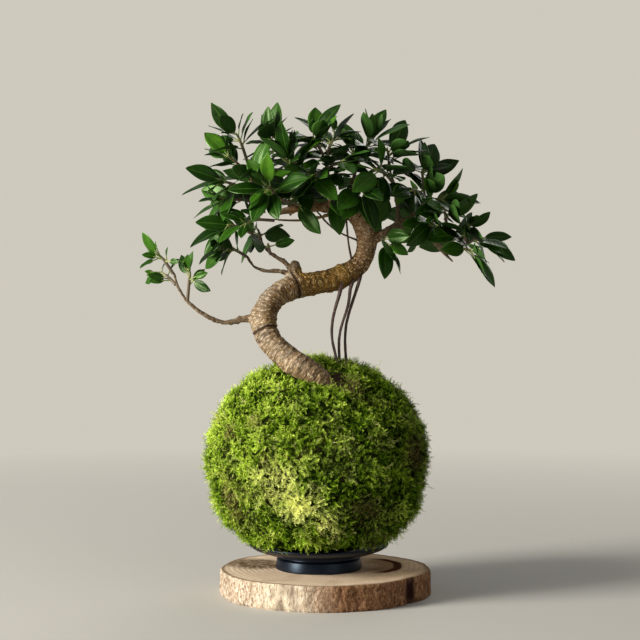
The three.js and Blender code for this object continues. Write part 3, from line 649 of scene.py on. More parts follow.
def moss_material():
    """Feathery moss: dark inside, yellow-green at the tips, with brown dry patches, lime specks and bright
    lime patches of painted sunlight.
    """
    make = new_material("feather_moss")
    # darker toward the root of each shoot: partly older moss, partly painted shade deep in the mat
    value = make.plus(make.times(make.attribute("tip"), 0.6), make.times(make.attribute("tone"), 0.52))
    green = make.ramp(
        value, (0.12, 0.003, 0.008, 0.001), (0.36, 0.027, 0.07, 0.002),
        (0.62, 0.18, 0.315, 0.01), (0.95, 0.6, 0.76, 0.09),
    )
    lime_and_sunlit = make.times(make.attribute("lime_and_sunlit"), make.remap(value, 0.12, 0.48, 0.1, 1))
    brown = make.ramp(value, (0.1, 0.05, 0.034, 0.015), (0.6, 0.2, 0.14, 0.055), (1, 0.36, 0.28, 0.11))
    colour = make.over(
        green, (lime_and_sunlit, (0.98, 1, 0.3)), (make.attribute("dry"), brown),
        (make.attribute("pale"), (0.66, 0.66, 0.22)),
    )
    glow = make.add("ShaderNodeBsdfTranslucent", "BSDF", {"Color": colour})
    return make.finished(make.blend(0.12, make.surface(colour, 0.6, 0.02), glow))


def moss_bed_material():
    """Dark matted layer that shows between the moss shoots, its darkness partly painted shade."""
    make = new_material("moss_bed")
    spot = make.spot()
    mat = make.noise(spot, 420, 5, 0.7)
    green = make.ramp(mat, (0.35, 0.004, 0.006, 0.001), (0.58, 0.016, 0.024, 0.004), (0.8, 0.06, 0.08, 0.014))
    patch = make.remap(make.noise(spot, 30, 3), 0.55, 0.7, 0, 0.7)
    colour = make.mix(patch, green, (0.045, 0.03, 0.012))
    return make.finished(make.surface(colour, 0.95, 0, relief=[(mat, 1, 2 * MM)]))


def soil_material():
    """Crumbly dark brown soil with redder lumps."""
    make = new_material("dark_soil")
    spot = make.spot()
    grain = make.noise(spot, 700, 5, 0.7)
    brown = make.ramp(grain, (0.3, 0.018, 0.01, 0.006), (0.55, 0.07, 0.04, 0.022), (0.75, 0.17, 0.1, 0.055))
    lump = make.remap(make.noise(spot, 120, 4), 0.5, 0.75, 0, 0.5)
    colour = make.mix(lump, brown, (0.12, 0.06, 0.03))
    return make.finished(make.surface(colour, 0.95, 0.1, relief=[(grain, 0.9, 1.2 * MM)]))


def dish_material():
    """Satin black plastic with a faint haze of dust."""
    make = new_material("satin_black")
    spot = make.spot()
    haze = make.noise(spot, 60, 5, 0.65)
    colour = make.ramp(haze, (0.4, 0.003, 0.004, 0.008), (0.75, 0.006, 0.008, 0.014))
    roughness = make.remap(haze, 0.3, 0.7, 0.28, 0.34)
    relief = [(make.noise(spot, 1600, 2), 0.12, 0.1 * MM)]
    return make.finished(make.surface(colour, roughness, 0.26, (0.6, 0.8, 1, 1), relief))


def sawn_wood_material():
    """Sawn end grain: growth rings round the pith, rays, saw marks, stains and a dark arc at the right."""
    make = new_material("sawn_end_grain")
    spot = make.spot()
    x, y = make.axis(spot, "X"), make.axis(spot, "Y")
    across, away = make.minus(x, PITH[0]), make.minus(y, PITH[1])
    reach = make.calc("SQRT", make.plus(make.calc("POWER", across, 2), make.calc("POWER", away, 2)))
    warp = make.noise(spot, 26, 3)
    wavy = make.plus(reach, make.times(warp, RING_WARP))
    uneven = make.times(make.noise(spot, 9, 2), 9)
    ring = make.calc("SINE", make.plus(make.times(wavy, 2 * math.pi / RING_SPACING), uneven))
    grain = make.noise(spot, 900, 3, 0.6)
    stain = make.noise(spot, 17, 4, 0.6, 0.6)
    wood = make.ramp(grain, (0.3, 0.56, 0.41, 0.28), (0.55, 0.76, 0.59, 0.42), (0.75, 0.93, 0.78, 0.59))
    heart = make.plus(make.attribute("inward"), make.times(warp, 0.12))
    # painted warm shade: warm brown over the right of the top, fading toward its front edge
    warm_shade = make.times(make.remap(x, *WARM_SHADE_X, 0, 0.4), make.remap(y, *WARM_SHADE_Y))
    # darker mottled blot round a place at the back left of the top
    from_stain = make.add("ShaderNodeVectorMath", "Value", {0: spot, 1: DARK_BLOT_PLACE}, operation="DISTANCE")
    blot = make.plus(from_stain, make.times(warp, DARK_BLOT_REACH))
    mottle = make.remap(make.noise(spot, 130, 4, 0.65), 0.4, 0.58, 0.6, 1)
    blotted = make.times(make.remap(blot, DARK_BLOT_REACH * 1.05, DARK_BLOT_REACH * 1.4, 1, 0), mottle)
    off_arc = make.minus(wavy, DARK_ARC_RADIUS)
    angle = make.calc("ARCTAN2", away, across)
    to_the_right = make.remap(make.calc("ABSOLUTE", angle), DARK_ARC_REACH * 0.7, DARK_ARC_REACH, 1, 0)
    inside = make.times(make.remap(off_arc, *INSIDE_ARC, 0, 0.75), make.remap(off_arc, 0, 1 * MM, 1, 0))
    near_arc = make.remap(make.calc("ABSOLUTE", off_arc), *ARC_HALF_WIDTH, 1, 0)
    ray = make.calc("SINE", make.plus(make.times(angle, 90), make.times(warp, 16)))
    colour = make.over(
        wood, (make.remap(heart, 0.17, 0.27, 0, 0.16), (0.36, 0.24, 0.145)),
        (warm_shade, (0.58, 0.37, 0.17)),
        (make.remap(ring, 0.1, 1, 0, 0.32), (0.3, 0.19, 0.11)),
        (make.remap(stain, 0.52, 0.68, 0, 0.4), (0.24, 0.15, 0.09)),
        (blotted, (0.1, 0.062, 0.03)),
        (make.times(inside, to_the_right), (0.2, 0.1, 0.035)),
        (make.times(near_arc, to_the_right), (0.05, 0.012, 0.004)),
        (make.remap(ray, 0.7, 1, 0, 0.16), (0.7, 0.56, 0.4)),
        (make.attribute("rim"), (0.2, 0.125, 0.07)),
    )
    saw = make.noise(make.stretch(spot, 0.12, 1, 1), 700, 2)
    relief = [(ring, 0.15, 0.4 * MM), (saw, 0.25, 0.4 * MM), (grain, 0.3, 0.3 * MM)]
    return make.finished(make.surface(colour, 0.9, 0, relief=relief))


def slice_bark_material():
    """Bark round the slice: tan plates and brown fissures, cream with painted light at the left and darker
    with painted shade at the right, both partly its own colour.
    """
    make = new_material("slice_bark")
    spot = make.spot()
    x = make.axis(spot, "X")
    plates = make.noise(make.stretch(spot, 1, 1, 0.6), 420, 5, 0.76, 0.4)
    streaks = make.noise(make.stretch(spot, 1, 1, 0.3), 640, 4, 0.75)
    patches = make.noise(spot, 34, 4, 0.55)
    tan = make.ramp(
        plates, (0.34, 0.1, 0.056, 0.03), (0.43, 0.29, 0.185, 0.11),
        (0.53, 0.53, 0.425, 0.305), (0.66, 0.73, 0.67, 0.57),
    )
    ragged = make.plus(x, make.times(plates, BARK_SHADE_RAGGED))
    # cream bark at the left, partly painted light
    cream_and_lit = make.times(make.remap(x, *CREAM_LIT_BARK_FROM, 0, 0.62), make.remap(ragged, *CREAM_LIT_BARK_TO, 1, 0))
    dark = make.ramp(plates, (0.34, 0.05, 0.019, 0.007), (0.5, 0.2, 0.083, 0.031), (0.64, 0.43, 0.225, 0.098))
    colour = make.over(
        tan, (cream_and_lit, (0.84, 0.71, 0.51)),
        (make.remap(streaks, 0.54, 0.62, 0, 0.75), (0.12, 0.065, 0.036)),
        (make.remap(patches, 0.5, 0.64, 0, 0.36), (0.34, 0.2, 0.12)),
        # darker bark at the right, partly painted shade
        (make.remap(ragged, *DARK_BARK_AND_SHADE, 0, 0.9), dark),
        # painted shade: the gap in the bark darkened almost to black
        (make.attribute("gap"), (0.022, 0.006, 0.004)),
        # painted shade: darker in the hollows of the bark's relief
        (make.times(make.attribute("hollow"), 0.75), (0.062, 0.03, 0.016)),
    )
    relief = [(plates, 0.8, 1.5 * MM), (streaks, 0.6, 0.8 * MM)]
    return make.finished(make.surface(colour, 0.88, 0.1, relief=relief))


def floor_material():
    """Matt pale floor round the plant that turns clear farther out."""
    make = new_material("pale_floor")
    away = make.add("ShaderNodeVectorMath", "Value", {0: make.spot()}, operation="LENGTH")
    clear = make.add("ShaderNodeBsdfTransparent", "BSDF", {})
    matt = make.surface((*FLOOR_COLOUR, 1), 0.9)
    return make.finished(make.blend(make.remap(away, *FLOOR_FADE), matt, clear))


# Wood slice

def slice_outline():
    """Angles of the finer mesh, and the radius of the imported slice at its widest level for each."""
    points, _ = joined_mesh("wood_slice")
    middle = points[(points[:, 2] > SLICE_WAIST[0]) & (points[:, 2] < SLICE_WAIST[1])]
    angles = np.arctan2(middle[:, 1], middle[:, 0])
    order = np.argsort(angles)
    radii = np.hypot(middle[:, 0], middle[:, 1])
    wanted = np.linspace(-math.pi, math.pi, SLICE_COLUMNS, endpoint=False)
    return wanted, np.interp(wanted, angles[order], radii[order], period=2 * math.pi)


def bark_point(angle, radius, share, z):
    """A place on the bark of the slice, and its values rim, hollow, gap and inward."""
    spot = Vector((math.cos(angle), math.sin(angle), 0)) * radius + Vector((0, 0, z * 0.35))
    relief = BARK_RELIEF * (0.55 * fractal(spot, 170, 4) + 0.45 * fractal(spot, 40, 3))
    missing = max(0.0, 1 - abs(angle - BARK_GAP_ANGLE) / BARK_GAP_WIDTH)
    missing = min(1.0, missing * 2.2) * min(1.0, 1.35 - abs(share - 0.5) * 1.4)
    edge = 1 - min(1.0, min(share, 1 - share) / BARK_EDGE_SHARE)
    out = radius + min(relief, BARK_MOST_OUT) - missing * BARK_GAP_DEPTH - BARK_EDGE_ROUND * edge ** 2
    hollow = min(1.0, max(0.0, -relief / BARK_RELIEF * 1.6 - 0.15))
    return (math.cos(angle) * out, math.sin(angle) * out, z), (1, hollow, missing, 0)


def band(outer, inner):
    """Faces between two rings of the slice, given the first corner of each."""
    ends = [(k, (k + 1) % SLICE_COLUMNS) for k in range(SLICE_COLUMNS)]
    return [(outer + k, outer + after, inner + after, inner + k) for k, after in ends]


def sawn_face(points, values, radii, edge, side, z, rows):
    """Adds the corners of the top (side 1) or underside (side -1) inside the bark, and gives its faces."""
    faces = []
    outer = edge
    for row in range(1, rows):
        share = 1 - row / rows
        inner = len(points)
        for k, radius in enumerate(radii):
            x, y = (points[edge + k][axis] * share for axis in (0, 1))
            dip = TOP_RELIEF * fractal((x, y, 0), 60, 3) if side == 1 else 0
            points.append((x, y, z + side * min(dip, TOP_MOST_OUT)))
            values.append((1 if (1 - share) * radius < BARK_THICKNESS else 0, 0, 0, 1 - share))
        faces.extend(band(outer, inner))
        outer = inner
    middle = len(points)
    points.append((0, 0, z))
    values.append((0, 0, 0, 1))
    faces.extend((outer + k, outer + (k + 1) % SLICE_COLUMNS, middle) for k in range(SLICE_COLUMNS))
    return faces if side == 1 else [face[::-1] for face in faces]


def build_slice():
    low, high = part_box("wood_slice")
    angles, radii = slice_outline()
    points, values, faces = [], [], []
    for row in range(SLICE_BARK_ROWS + 1):
        share = row / SLICE_BARK_ROWS
        for angle, radius in zip(angles, radii):
            point, value = bark_point(angle, radius, share, low.z + (high.z - low.z) * share)
            points.append(point)
            values.append(value)
    top_edge = SLICE_BARK_ROWS * SLICE_COLUMNS
    faces.extend(sawn_face(points, values, radii, top_edge, 1, high.z, SLICE_TOP_ROWS))
    faces.extend(sawn_face(points, values, radii, 0, -1, low.z, SLICE_UNDER_ROWS))
    sawn = len(faces)
    for row in range(SLICE_BARK_ROWS):
        faces.extend(band(row * SLICE_COLUMNS, (row + 1) * SLICE_COLUMNS))
    piece = make_piece(
        "wood_slice_fine", make_mesh("wood_slice_fine", points, faces),
        [slice_bark_material(), sawn_wood_material()],
        dict(zip(("rim", "hollow", "gap", "inward"), np.array(values).T)),
        sharp=SLICE_SHARP, face_materials=[1] * sawn + [0] * (len(faces) - sawn),
    )
    place(piece, "slice_wood", "wood_slice")


# Dish

def rounded(outline, radius):
    """Outline with each inner corner turned into a short arc."""
    result = [outline[0]]
    for before, corner, after in zip(outline, outline[1:], outline[2:]):
        before, corner, after = (np.array(point, dtype=float) for point in (before, corner, after))
        reach = min(radius, norm(before - corner) * 0.45, norm(after - corner) * 0.45)
        start = corner + unit(before - corner) * reach
        end = corner + unit(after - corner) * reach
        for share in np.linspace(0, 1, DISH_ROUND):
            bend = (1 - share) ** 2 * start + 2 * share * (1 - share) * corner + share ** 2 * end
            result.append(tuple(bend))
    result.append(outline[-1])
    return result


def dish_profile(rim, bottom, top):
    """Outline of the dish as radii and heights, from the middle of its underside round to its floor."""
    foot_top = bottom + FOOT_HEIGHT
    return rounded([
        (0, bottom + FOOT_HOLLOW), (FOOT_RADIUS - 5 * MM, bottom + FOOT_HOLLOW),
        (FOOT_RADIUS - 4 * MM, bottom), (FOOT_RADIUS, bottom),
        (FOOT_RADIUS - FOOT_TAPER, foot_top - 0.4 * MM), (NECK_RADIUS, foot_top),
        (NECK_RADIUS, foot_top + 1.8 * MM),
        (rim * 0.55, top - 9.6 * MM), (rim * 0.78, top - 7.8 * MM), (rim * 0.93, top - 4.4 * MM),
        (rim, top - 1.4 * MM), (rim, top), (rim - RIM_WALL, top - 0.2 * MM),
        (rim * 0.86, top - 4.4 * MM), (rim * 0.7, top - 7.7 * MM), (0, top - 7.7 * MM),
    ], DISH_CORNER)


def build_dish():
    low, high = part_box("footed_dish")
    centre = (low.x + high.x) / 2
    profile = dish_profile((high.x - low.x) / 2, low.z, high.z)
    points = [(centre, 0, profile[0][1]), (centre, 0, profile[-1][1])]
    faces = []
    ring = len(profile) - 2
    for k in range(DISH_SEGMENTS):
        angle = 2 * math.pi * k / DISH_SEGMENTS
        points.extend((centre + r * math.cos(angle), r * math.sin(angle), z) for r, z in profile[1:-1])
        here = 2 + k * ring
        after = 2 + ((k + 1) % DISH_SEGMENTS) * ring
        faces.append((0, after, here))
        faces.append((1, here + ring - 1, after + ring - 1))
        faces.extend((here + i, after + i, after + i + 1, here + i + 1) for i in range(ring - 1))
    mesh = make_mesh("footed_dish_fine", points, faces)
    piece = make_piece("footed_dish_fine", mesh, [dish_material()], sharp=DISH_SHARP)
    place(piece, "black_dish", "footed_dish")


# Trunk and roots

def trunk_frames():
    """Centre line of the trunk with its directions, its length so far and a steady side direction."""
    line = smooth_line(np.array(TRUNK_LINE) * MM, TRUNK_LINE_SAMPLES)
    tangents = units(np.gradient(line, axis=0))
    steps = norm(np.diff(line, axis=0), axis=1)
    sides = np.zeros_like(line)
    side = np.cross(tangents[0], [0, 0, 1])
    for i, tangent in enumerate(tangents):
        side = unit(side - tangent * side.dot(tangent))
        sides[i] = side
    return line, tangents, np.concatenate([[0], np.cumsum(steps)]), sides


def nearest_on(line, points):
    """Index of the place on a line that is nearest to each point."""
    nearest = np.zeros(len(points), dtype=int)
    for start in range(0, len(points), TRUNK_BLOCK):
        gaps = ((points[start:start + TRUNK_BLOCK, None, :] - line[None, :, :]) ** 2).sum(axis=2)
        nearest[start:start + TRUNK_BLOCK] = gaps.argmin(axis=1)
    return nearest


def bark_relief(x, y, s, grooves, on_trunk):
    """How far the bark stands out and how hollow it is at a place of the straightened trunk."""
    wobble = RING_WOBBLE * noise.noise(Vector((x, y, s)) * 90)
    ridge = fractal((x * 0.5, y * 0.5, (s + wobble) * 3.4), 110, 3)
    warts = max(0.0, noise.noise(Vector((x, y, s)) * 210) - WARTS_ABOVE)
    move = RING_RELIEF * ridge + KNOT_RELIEF * fractal((x, y, s), 330, 3) + WART_RELIEF * warts
    hollow = min(1.0, max(0.0, -ridge * 0.9 - 0.1)) * 0.6
    for groove in grooves:
        gap = abs(s + wobble * 0.6 - groove)
        cut = math.exp(-(gap / GROOVE_WIDTH) ** 2) * on_trunk
        move -= GROOVE_DEPTH * cut
        hollow = max(hollow, cut)
    return move, hollow


def build_trunk():
    mesh = refined_copy("trunk_fine", "trunk", 1, TRUNK_VOXEL, 4)
    points, normals = mesh_arrays(mesh)
    line, tangents, lengths, sides = trunk_frames()
    nearest = nearest_on(line, points)
    offset = points - line[nearest]
    reach = norm(offset, axis=1)
    other = np.cross(tangents[nearest], sides[nearest])
    straight = np.stack([
        (offset * sides[nearest]).sum(axis=1), (offset * other).sum(axis=1), lengths[nearest],
    ], axis=1)
    on_trunk = np.clip((BARK_REACH * 1.4 - reach) / (BARK_REACH * 0.4), 0, 1)
    grooves = [lengths[norm(line - np.array(spot) * MM, axis=1).argmin()] for spot in GROOVES_AT]
    relief = [bark_relief(*spot, grooves, share) for spot, share in zip(straight, on_trunk)]
    move, hollow = np.array(relief).T
    thick = np.clip(reach / THIN_LIMB, 0.35, 1)
    points += normals * (move * thick + BARK_SWELL)[:, None]
    mesh.vertices.foreach_set("co", points.ravel())
    upper = np.clip((lengths[nearest] - grooves[1]) / UPPER_BARK_BLEND, 0, 1)
    # painted sheen: how squarely the lower trunk faces the light
    facing = normals @ unit(np.array(PAINTED_SHEEN_SIDE))
    painted_sheen = np.interp(facing, PAINTED_SHEEN_FROM, (0, 1)) * (1 - upper) * on_trunk
    values = {"bark": straight, "hollow": hollow, "upper": upper, "limb": 1 - on_trunk, "painted_sheen": painted_sheen}
    place(make_piece("trunk_fine", mesh, [bark_material()], values), "bark", "trunk")


def build_roots():
    material = root_material()
    for node in sorted(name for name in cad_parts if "root" in name):
        mesh = refined_copy(node + "_fine", node, 2, None, 2)
        points, normals = mesh_arrays(mesh)
        centre = points.mean(axis=0)
        axis = np.linalg.svd(points - centre)[2][0]
        along = (points - centre) @ axis
        at_end = np.clip((along - along.max() + ROOT_END) / ROOT_END, 0, 1)
        at_start = np.clip((along.min() + ROOT_END - along) / ROOT_END, 0, 1)
        points += axis * ((at_end - at_start) * ROOT_GROWTH)[:, None]
        points += normals * (ROOT_BUMPS * fractals(points, 420, 3) - ROOT_SHRINK)[:, None]
        mesh.vertices.foreach_set("co", points.ravel())
        place(make_piece(node + "_fine", mesh, [material]), "root_bark", node)


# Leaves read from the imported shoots

def neighbour_sets(count, triangles):
    near = [set() for _ in range(count)]
    for a, b, c in triangles:
        near[a].update((b, c))
        near[b].update((a, c))
        near[c].update((a, b))
    return near


def leaf_from(root, along, face, length, half_width):
    """A leaf by its root in the twig, its heading, the side its face looks to, and its size."""
    along = unit(along)
    face = unit(face - along * face.dot(along))
    centres = [
        root + along * (PETIOLE_LENGTH + share * length) - face * LEAF_ARCH * length * share ** 2
        for share in (NEAR_STATION, FAR_STATION, 1)
    ]
    return {
        "root": root, "length": length, "half_width": half_width,
        "centres": centres, "side": np.cross(along, face), "face": face, "youth": 0,
    }


def blade_at_tip(points, near, tip):
    """The leaf whose blade ends in this corner, or None if no leaf does."""
    if len(near[tip]) != 4:
        return None
    first, *rest = near[tip]
    facing = [corner for corner in rest if corner not in near[first]]
    if len(facing) != 1:
        return None
    pairs = [(first, facing[0]), tuple(corner for corner in rest if corner != facing[0])]
    pairs.sort(key=lambda pair: norm(points[pair[0]] - points[pair[1]]))
    (top, bottom), (left, right) = pairs
    width = norm(points[left] - points[right])
    if norm(points[top] - points[bottom]) > LEAF_THIN or width < LEAF_WIDE:
        return None
    if angle_between(points[left] - points[tip], points[right] - points[tip]) > LEAF_TIP_ANGLE:
        return None
    middle = (points[left] + points[right]) / 2
    if norm(points[bottom] - middle) < norm(points[top] - middle):
        top, bottom = bottom, top
    end = points[tip] - (points[top] + points[bottom]) / 2
    rise = LEAF_ARCH * (1 - FAR_STATION ** 2)
    run = 1 - FAR_STATION
    length = norm(end) / math.hypot(rise, run)
    half_width = width / 2 / FAR_STATION_WIDTH
    if half_width > LEAF_HALF_WIDTH_LIMIT * length:
        return None
    heading = unit(end)
    upward = unit((points[top] - points[bottom]) - heading * heading.dot(points[top] - points[bottom]))
    tilt = math.atan2(rise, run)
    along = heading * math.cos(tilt) + upward * math.sin(tilt)
    face = upward * math.cos(tilt) - heading * math.sin(tilt)
    root = points[tip] - along * (PETIOLE_LENGTH + length) + face * LEAF_ARCH * length
    return leaf_from(root, along, face, length, half_width)


def flat_patches(points, triangles):
    """Groups of neighbouring triangles that lie in one plane, as sets of corners."""
    normals = triangle_normals(points[triangles])
    normals /= norm(normals, axis=1, keepdims=True) + 1e-15
    by_edge = {}
    for index, (a, b, c) in enumerate(triangles):
        for edge in ((a, b), (b, c), (c, a)):
            by_edge.setdefault(frozenset(edge), []).append(index)
    group = list(range(len(triangles)))

    def leader(index):
        while group[index] != index:
            index = group[index]
        return index

    for pair in by_edge.values():
        if len(pair) == 2 and normals[pair[0]].dot(normals[pair[1]]) > FLAT_COSINE:
            group[leader(pair[0])] = leader(pair[1])
    patches = {}
    for index in range(len(triangles)):
        patches.setdefault(leader(index), set()).update(triangles[index].tolist())
    return patches.values()


def twig_start(points, triangles):
    """Centre and radius of the flat five-sided end where a shoot's twig leaves its limb."""
    ends = []
    for patch_corners in flat_patches(points, triangles):
        if len(patch_corners) != 5:
            continue
        ring = points[list(patch_corners)]
        centre = ring.mean(axis=0)
        reach = norm(ring - centre, axis=1)
        if np.ptp(reach) < TWIG_END_SPREAD * reach.mean():
            ends.append((reach.mean(), centre))
    radius, centre = max(ends, key=lambda end: end[0])
    return centre, radius


# Leafy shoots

def centre_line(leaf, share):
    """Arched middle of a blade: the parabola through its two stations and its tip."""
    a, b = NEAR_STATION, FAR_STATION
    near, far, tip = leaf["centres"]
    return (
        near * (share - b) * (share - 1) / ((a - b) * (a - 1))
        + far * (share - a) * (share - 1) / ((b - a) * (b - 1))
        + tip * (share - a) * (share - b) / ((1 - a) * (1 - b))
    )


def blade_width(share):
    """Half width of a blade along its length: an oval that narrows to a pointed tip."""
    oval = math.sin(math.pi * share ** 0.92) ** 0.68
    return oval * (1 - 0.26 * max(0.0, (share - 0.76) / 0.24))


def blade_corners(leaf, draw):
    """Corners of a blade by rows, top and then underside, each with its place across, along and below."""
    wave_shift = draw.uniform(0, 6.28)
    wave_size = draw.uniform(0.2, 1) * LEAF_EDGE_WAVE
    curl = draw.uniform(*LEAF_CURL)
    points, values = [], []
    for layer in (0, 1):
        for i in range(LEAF_ROWS + 1):
            share = 0.5 - 0.5 * math.cos(math.pi * i / LEAF_ROWS)
            share = 0.5 * share + 0.5 * i / LEAF_ROWS
            half = leaf["half_width"] * blade_width(max(share, 0.004))
            centre = centre_line(leaf, share)
            for j in range(LEAF_COLUMNS + 1):
                v = 2 * j / LEAF_COLUMNS - 1
                rise = LEAF_FOLD * half * (abs(v) ** 1.4) - curl * half * 0.35 * abs(v) ** 5
                rise += wave_size * math.sin(9 * share + wave_shift + 2 * v) * v * v
                rise -= LEAF_MIDRIB_DEPTH * math.exp(-(v / 0.12) ** 2) * math.sin(math.pi * share)
                thin = LEAF_THICKNESS * (0.5 - 0.42 * abs(v) ** 3) * (1 - 0.6 * share)
                rise += thin if layer == 0 else -thin - LEAF_MIDRIB_DEPTH * math.exp(-(v / 0.1) ** 2)
                points.append(centre + leaf["side"] * half * v + leaf["face"] * rise)
                values.append((v, share, layer))
    return points, np.array(values).T


def blade_faces():
    """Faces of a blade: top, underside and the two edges between them."""
    count = 2 * (LEAF_ROWS + 1) * (LEAF_COLUMNS + 1)
    top, under = np.arange(count).reshape(2, LEAF_ROWS + 1, LEAF_COLUMNS + 1).tolist()
    faces = []
    for rows in (top, under):
        for here, beyond in zip(rows, rows[1:]):
            for j in range(LEAF_COLUMNS):
                quad = (here[j], here[j + 1], beyond[j + 1], beyond[j])
                faces.append(quad if rows is top else quad[::-1])
    for here, beyond, low, low_beyond in zip(top, top[1:], under, under[1:]):
        faces.append((here[0], beyond[0], low_beyond[0], low[0]))
        faces.append((low[-1], low_beyond[-1], beyond[-1], here[-1]))
    return faces


def twig_line(start, roots):
    """Smooth line of a twig, from inside its limb through the roots of its leaves to its bud."""
    stops = [start]
    for root in sorted(roots, key=lambda root: norm(root - start)):
        if norm(root - stops[-1]) > TWIG_STOP_SPACING:
            stops.append(root)
    stops.insert(0, stops[0] - unit(stops[1] - stops[0]) * TWIG_SUNK)
    stops.append(stops[-1] + unit(stops[-1] - stops[-2]) * BUD_LENGTH)
    return smooth_line(stops, TWIG_STOP_SAMPLES * len(stops))


def add_part(parts, points, faces, material, **values):
    start = sum(len(block) for block in parts["points"])
    parts["points"].append(np.asarray(points, dtype=float))
    parts["faces"].extend([tuple(start + corner for corner in face) for face in faces])
    parts["materials"].extend([material] * len(faces))
    for key, columns in parts["values"].items():
        columns.append(np.zeros(len(points)) + values.get(key, 0))


def add_twig(parts, line, radius):
    shares = np.linspace(0, 1, len(line))
    radii = radius * (1 - (1 - TWIG_TAPER) * shares) * np.clip((1 - shares) / BUD_SHARE, 0.04, 1) ** 0.8
    ages = np.concatenate([[1], np.repeat(1 - 0.8 * shares ** 1.5, TWIG_SIDES), [0.2]])
    add_part(parts, *tube(line, radii, TWIG_SIDES), 1, age=ages)


def add_leaf(parts, leaf, draw):
    base = centre_line(leaf, 0)
    along = unit(centre_line(leaf, 0.02) - base)
    tone = min(LEAF_TONE_LIMIT, max(0.0, draw.normal(*LEAF_TONE)) + YOUNG_TONE * leaf["youth"])
    bend = leaf["face"] * draw.uniform(-0.5, 0.2) * MM
    reach = base + along * PETIOLE_OVERLAP - leaf["face"] * 0.2 * MM
    stalk = smooth_line([leaf["root"], (leaf["root"] + base) / 2 + bend, base, reach], len(PETIOLE_WIDTHS))
    age = 0.05 + 0.15 * (1 - tone)
    add_part(parts, *tube(stalk, PETIOLE_RADIUS * PETIOLE_WIDTHS, STALK_SIDES), 1, age=age)
    points, values = blade_corners(leaf, draw)
    values = dict(zip(("across", "lengthwise", "underside"), values))
    add_part(parts, points, blade_faces(), 0, tone=tone, **values)


def young_leaves(node, leaves, line, draw):
    """Smaller leaves between the larger ones and at the end of the twig, inside the shoot's reach."""
    low, high = (np.array(corner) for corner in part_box(node))
    length = np.mean([leaf["length"] for leaf in leaves])
    young = []
    thick = norm(line[-1] - THICK_MIDDLE) < THICK_REACH
    for share, size in YOUNG_LEAVES + (THICK_LEAVES if thick else []):
        for _ in range(YOUNG_LEAF_TRIES):
            index = int(share * (len(line) - 2))
            heading = unit(line[index + 1] - line[index])
            around = unit(np.cross(heading, draw.normal(size=3)))
            opening = draw.uniform(*YOUNG_OPENING)
            along = heading * math.cos(opening) + around * math.sin(opening)
            face = unit(line[index] - CROWN_MIDDLE) + np.array([0, -0.3, 0.5]) + 0.3 * draw.normal(size=3)
            long = length * size * draw.uniform(*YOUNG_LENGTH)
            leaf = leaf_from(line[index], along, face, long, long * YOUNG_HALF_WIDTH)
            leaf["youth"] = 1 - size
            tip = leaf["centres"][2]
            hides_limb = (tip > BARE_LIMB[0]).all() and (tip < BARE_LIMB[1]).all()
            if (tip > low).all() and (tip < high).all() and not hides_limb:
                young.append(leaf)
                break
    return young


def build_shoot(node, materials, draw):
    points, triangles = joined_mesh(node)
    near = neighbour_sets(len(points), triangles)
    leaves = [leaf for leaf in (blade_at_tip(points, near, tip) for tip in range(len(points))) if leaf]
    start, radius = twig_start(points, triangles)
    line = twig_line(start, [leaf["root"] for leaf in leaves])
    values = {key: [] for key in ("across", "lengthwise", "underside", "tone", "age")}
    parts = {"points": [], "faces": [], "materials": [], "values": values}
    add_twig(parts, line, radius)
    for leaf in leaves + young_leaves(node, leaves, line, draw):
        add_leaf(parts, leaf, draw)
    mesh = make_mesh(node + "_fine", np.vstack(parts["points"]), parts["faces"])
    columns = {key: np.concatenate(columns) for key, columns in values.items()}
    piece = make_piece(node + "_fine", mesh, materials, columns, face_materials=parts["materials"])
    place(piece, "leaf", node)


def build_shoots():
    materials = [leaf_material(), petiole_material()]
    draw = np.random.default_rng(SHOOT_SEED)
    for node in sorted(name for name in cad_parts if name.startswith("leafy_shoot")):
        build_shoot(node, materials, draw)


# Places on the ball

def outer_triangles():
    """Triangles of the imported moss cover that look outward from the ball, with their areas doubled."""
    points, triangles = joined_mesh("moss_cover")
    corners = points[triangles]
    normals = triangle_normals(corners)
    areas = norm(normals, axis=1)
    normals /= areas[:, None] + 1e-12
    facing = (normals * units(corners.mean(axis=1) - BALL_CENTRE)).sum(axis=1) > SHOOTS_FACING
    return corners[facing], areas[facing]


def scattered(draw, corners, areas, count):
    """Random places on triangles, even by area."""
    chosen = draw.choice(len(corners), count, p=areas / areas.sum())
    a, b = draw.random(count), draw.random(count)
    over = a + b > 1
    a[over], b[over] = 1 - a[over], 1 - b[over]
    first, second, third = corners[chosen].swapaxes(0, 1)
    return first + a[:, None] * (second - first) + b[:, None] * (third - first)


def trunk_gap(places):
    """Distance of every place from the middle of the trunk's foot."""
    line = smooth_line(np.array(TRUNK_LINE[:TRUNK_FOOT_STOPS]) * MM, TRUNK_FOOT_SAMPLES)
    return np.sqrt(((places[:, None, :] - line[None, :, :]) ** 2).sum(axis=2)).min(axis=1)


def soil_places(draw, count, nearest, farthest):
    """Random places on the soil of the opening, between two shares of the way from middle to edge."""
    points, triangles = joined_mesh("soil_ball")
    corners = points[triangles]
    normals = triangle_normals(corners)
    areas = norm(normals, axis=1)
    upward = normals[:, 2] > SOIL_FACING_UP * areas
    places = scattered(draw, corners[upward], areas[upward], count * OPENING_TRIES)
    off = norm((places[:, :2] - OPENING_MIDDLE) / OPENING_HALF, axis=1)
    clear = trunk_gap(places) > OPENING_TRUNK_GAP
    inside = (off > nearest) & (off < farthest) & (places[:, 2] > BALL_CENTRE[2]) & clear
    return places[inside][:count]


def patch_strength(points, places):
    """How far each point lies inside any of the round places."""
    strength = np.zeros(len(points))
    for x, y, z, radius in places:
        distance = norm(points - np.array([x, y, z]) * MM, axis=1)
        strength = np.maximum(strength, np.clip(PATCH_END - distance / (radius * MM), 0, 1))
    return strength


# Moss

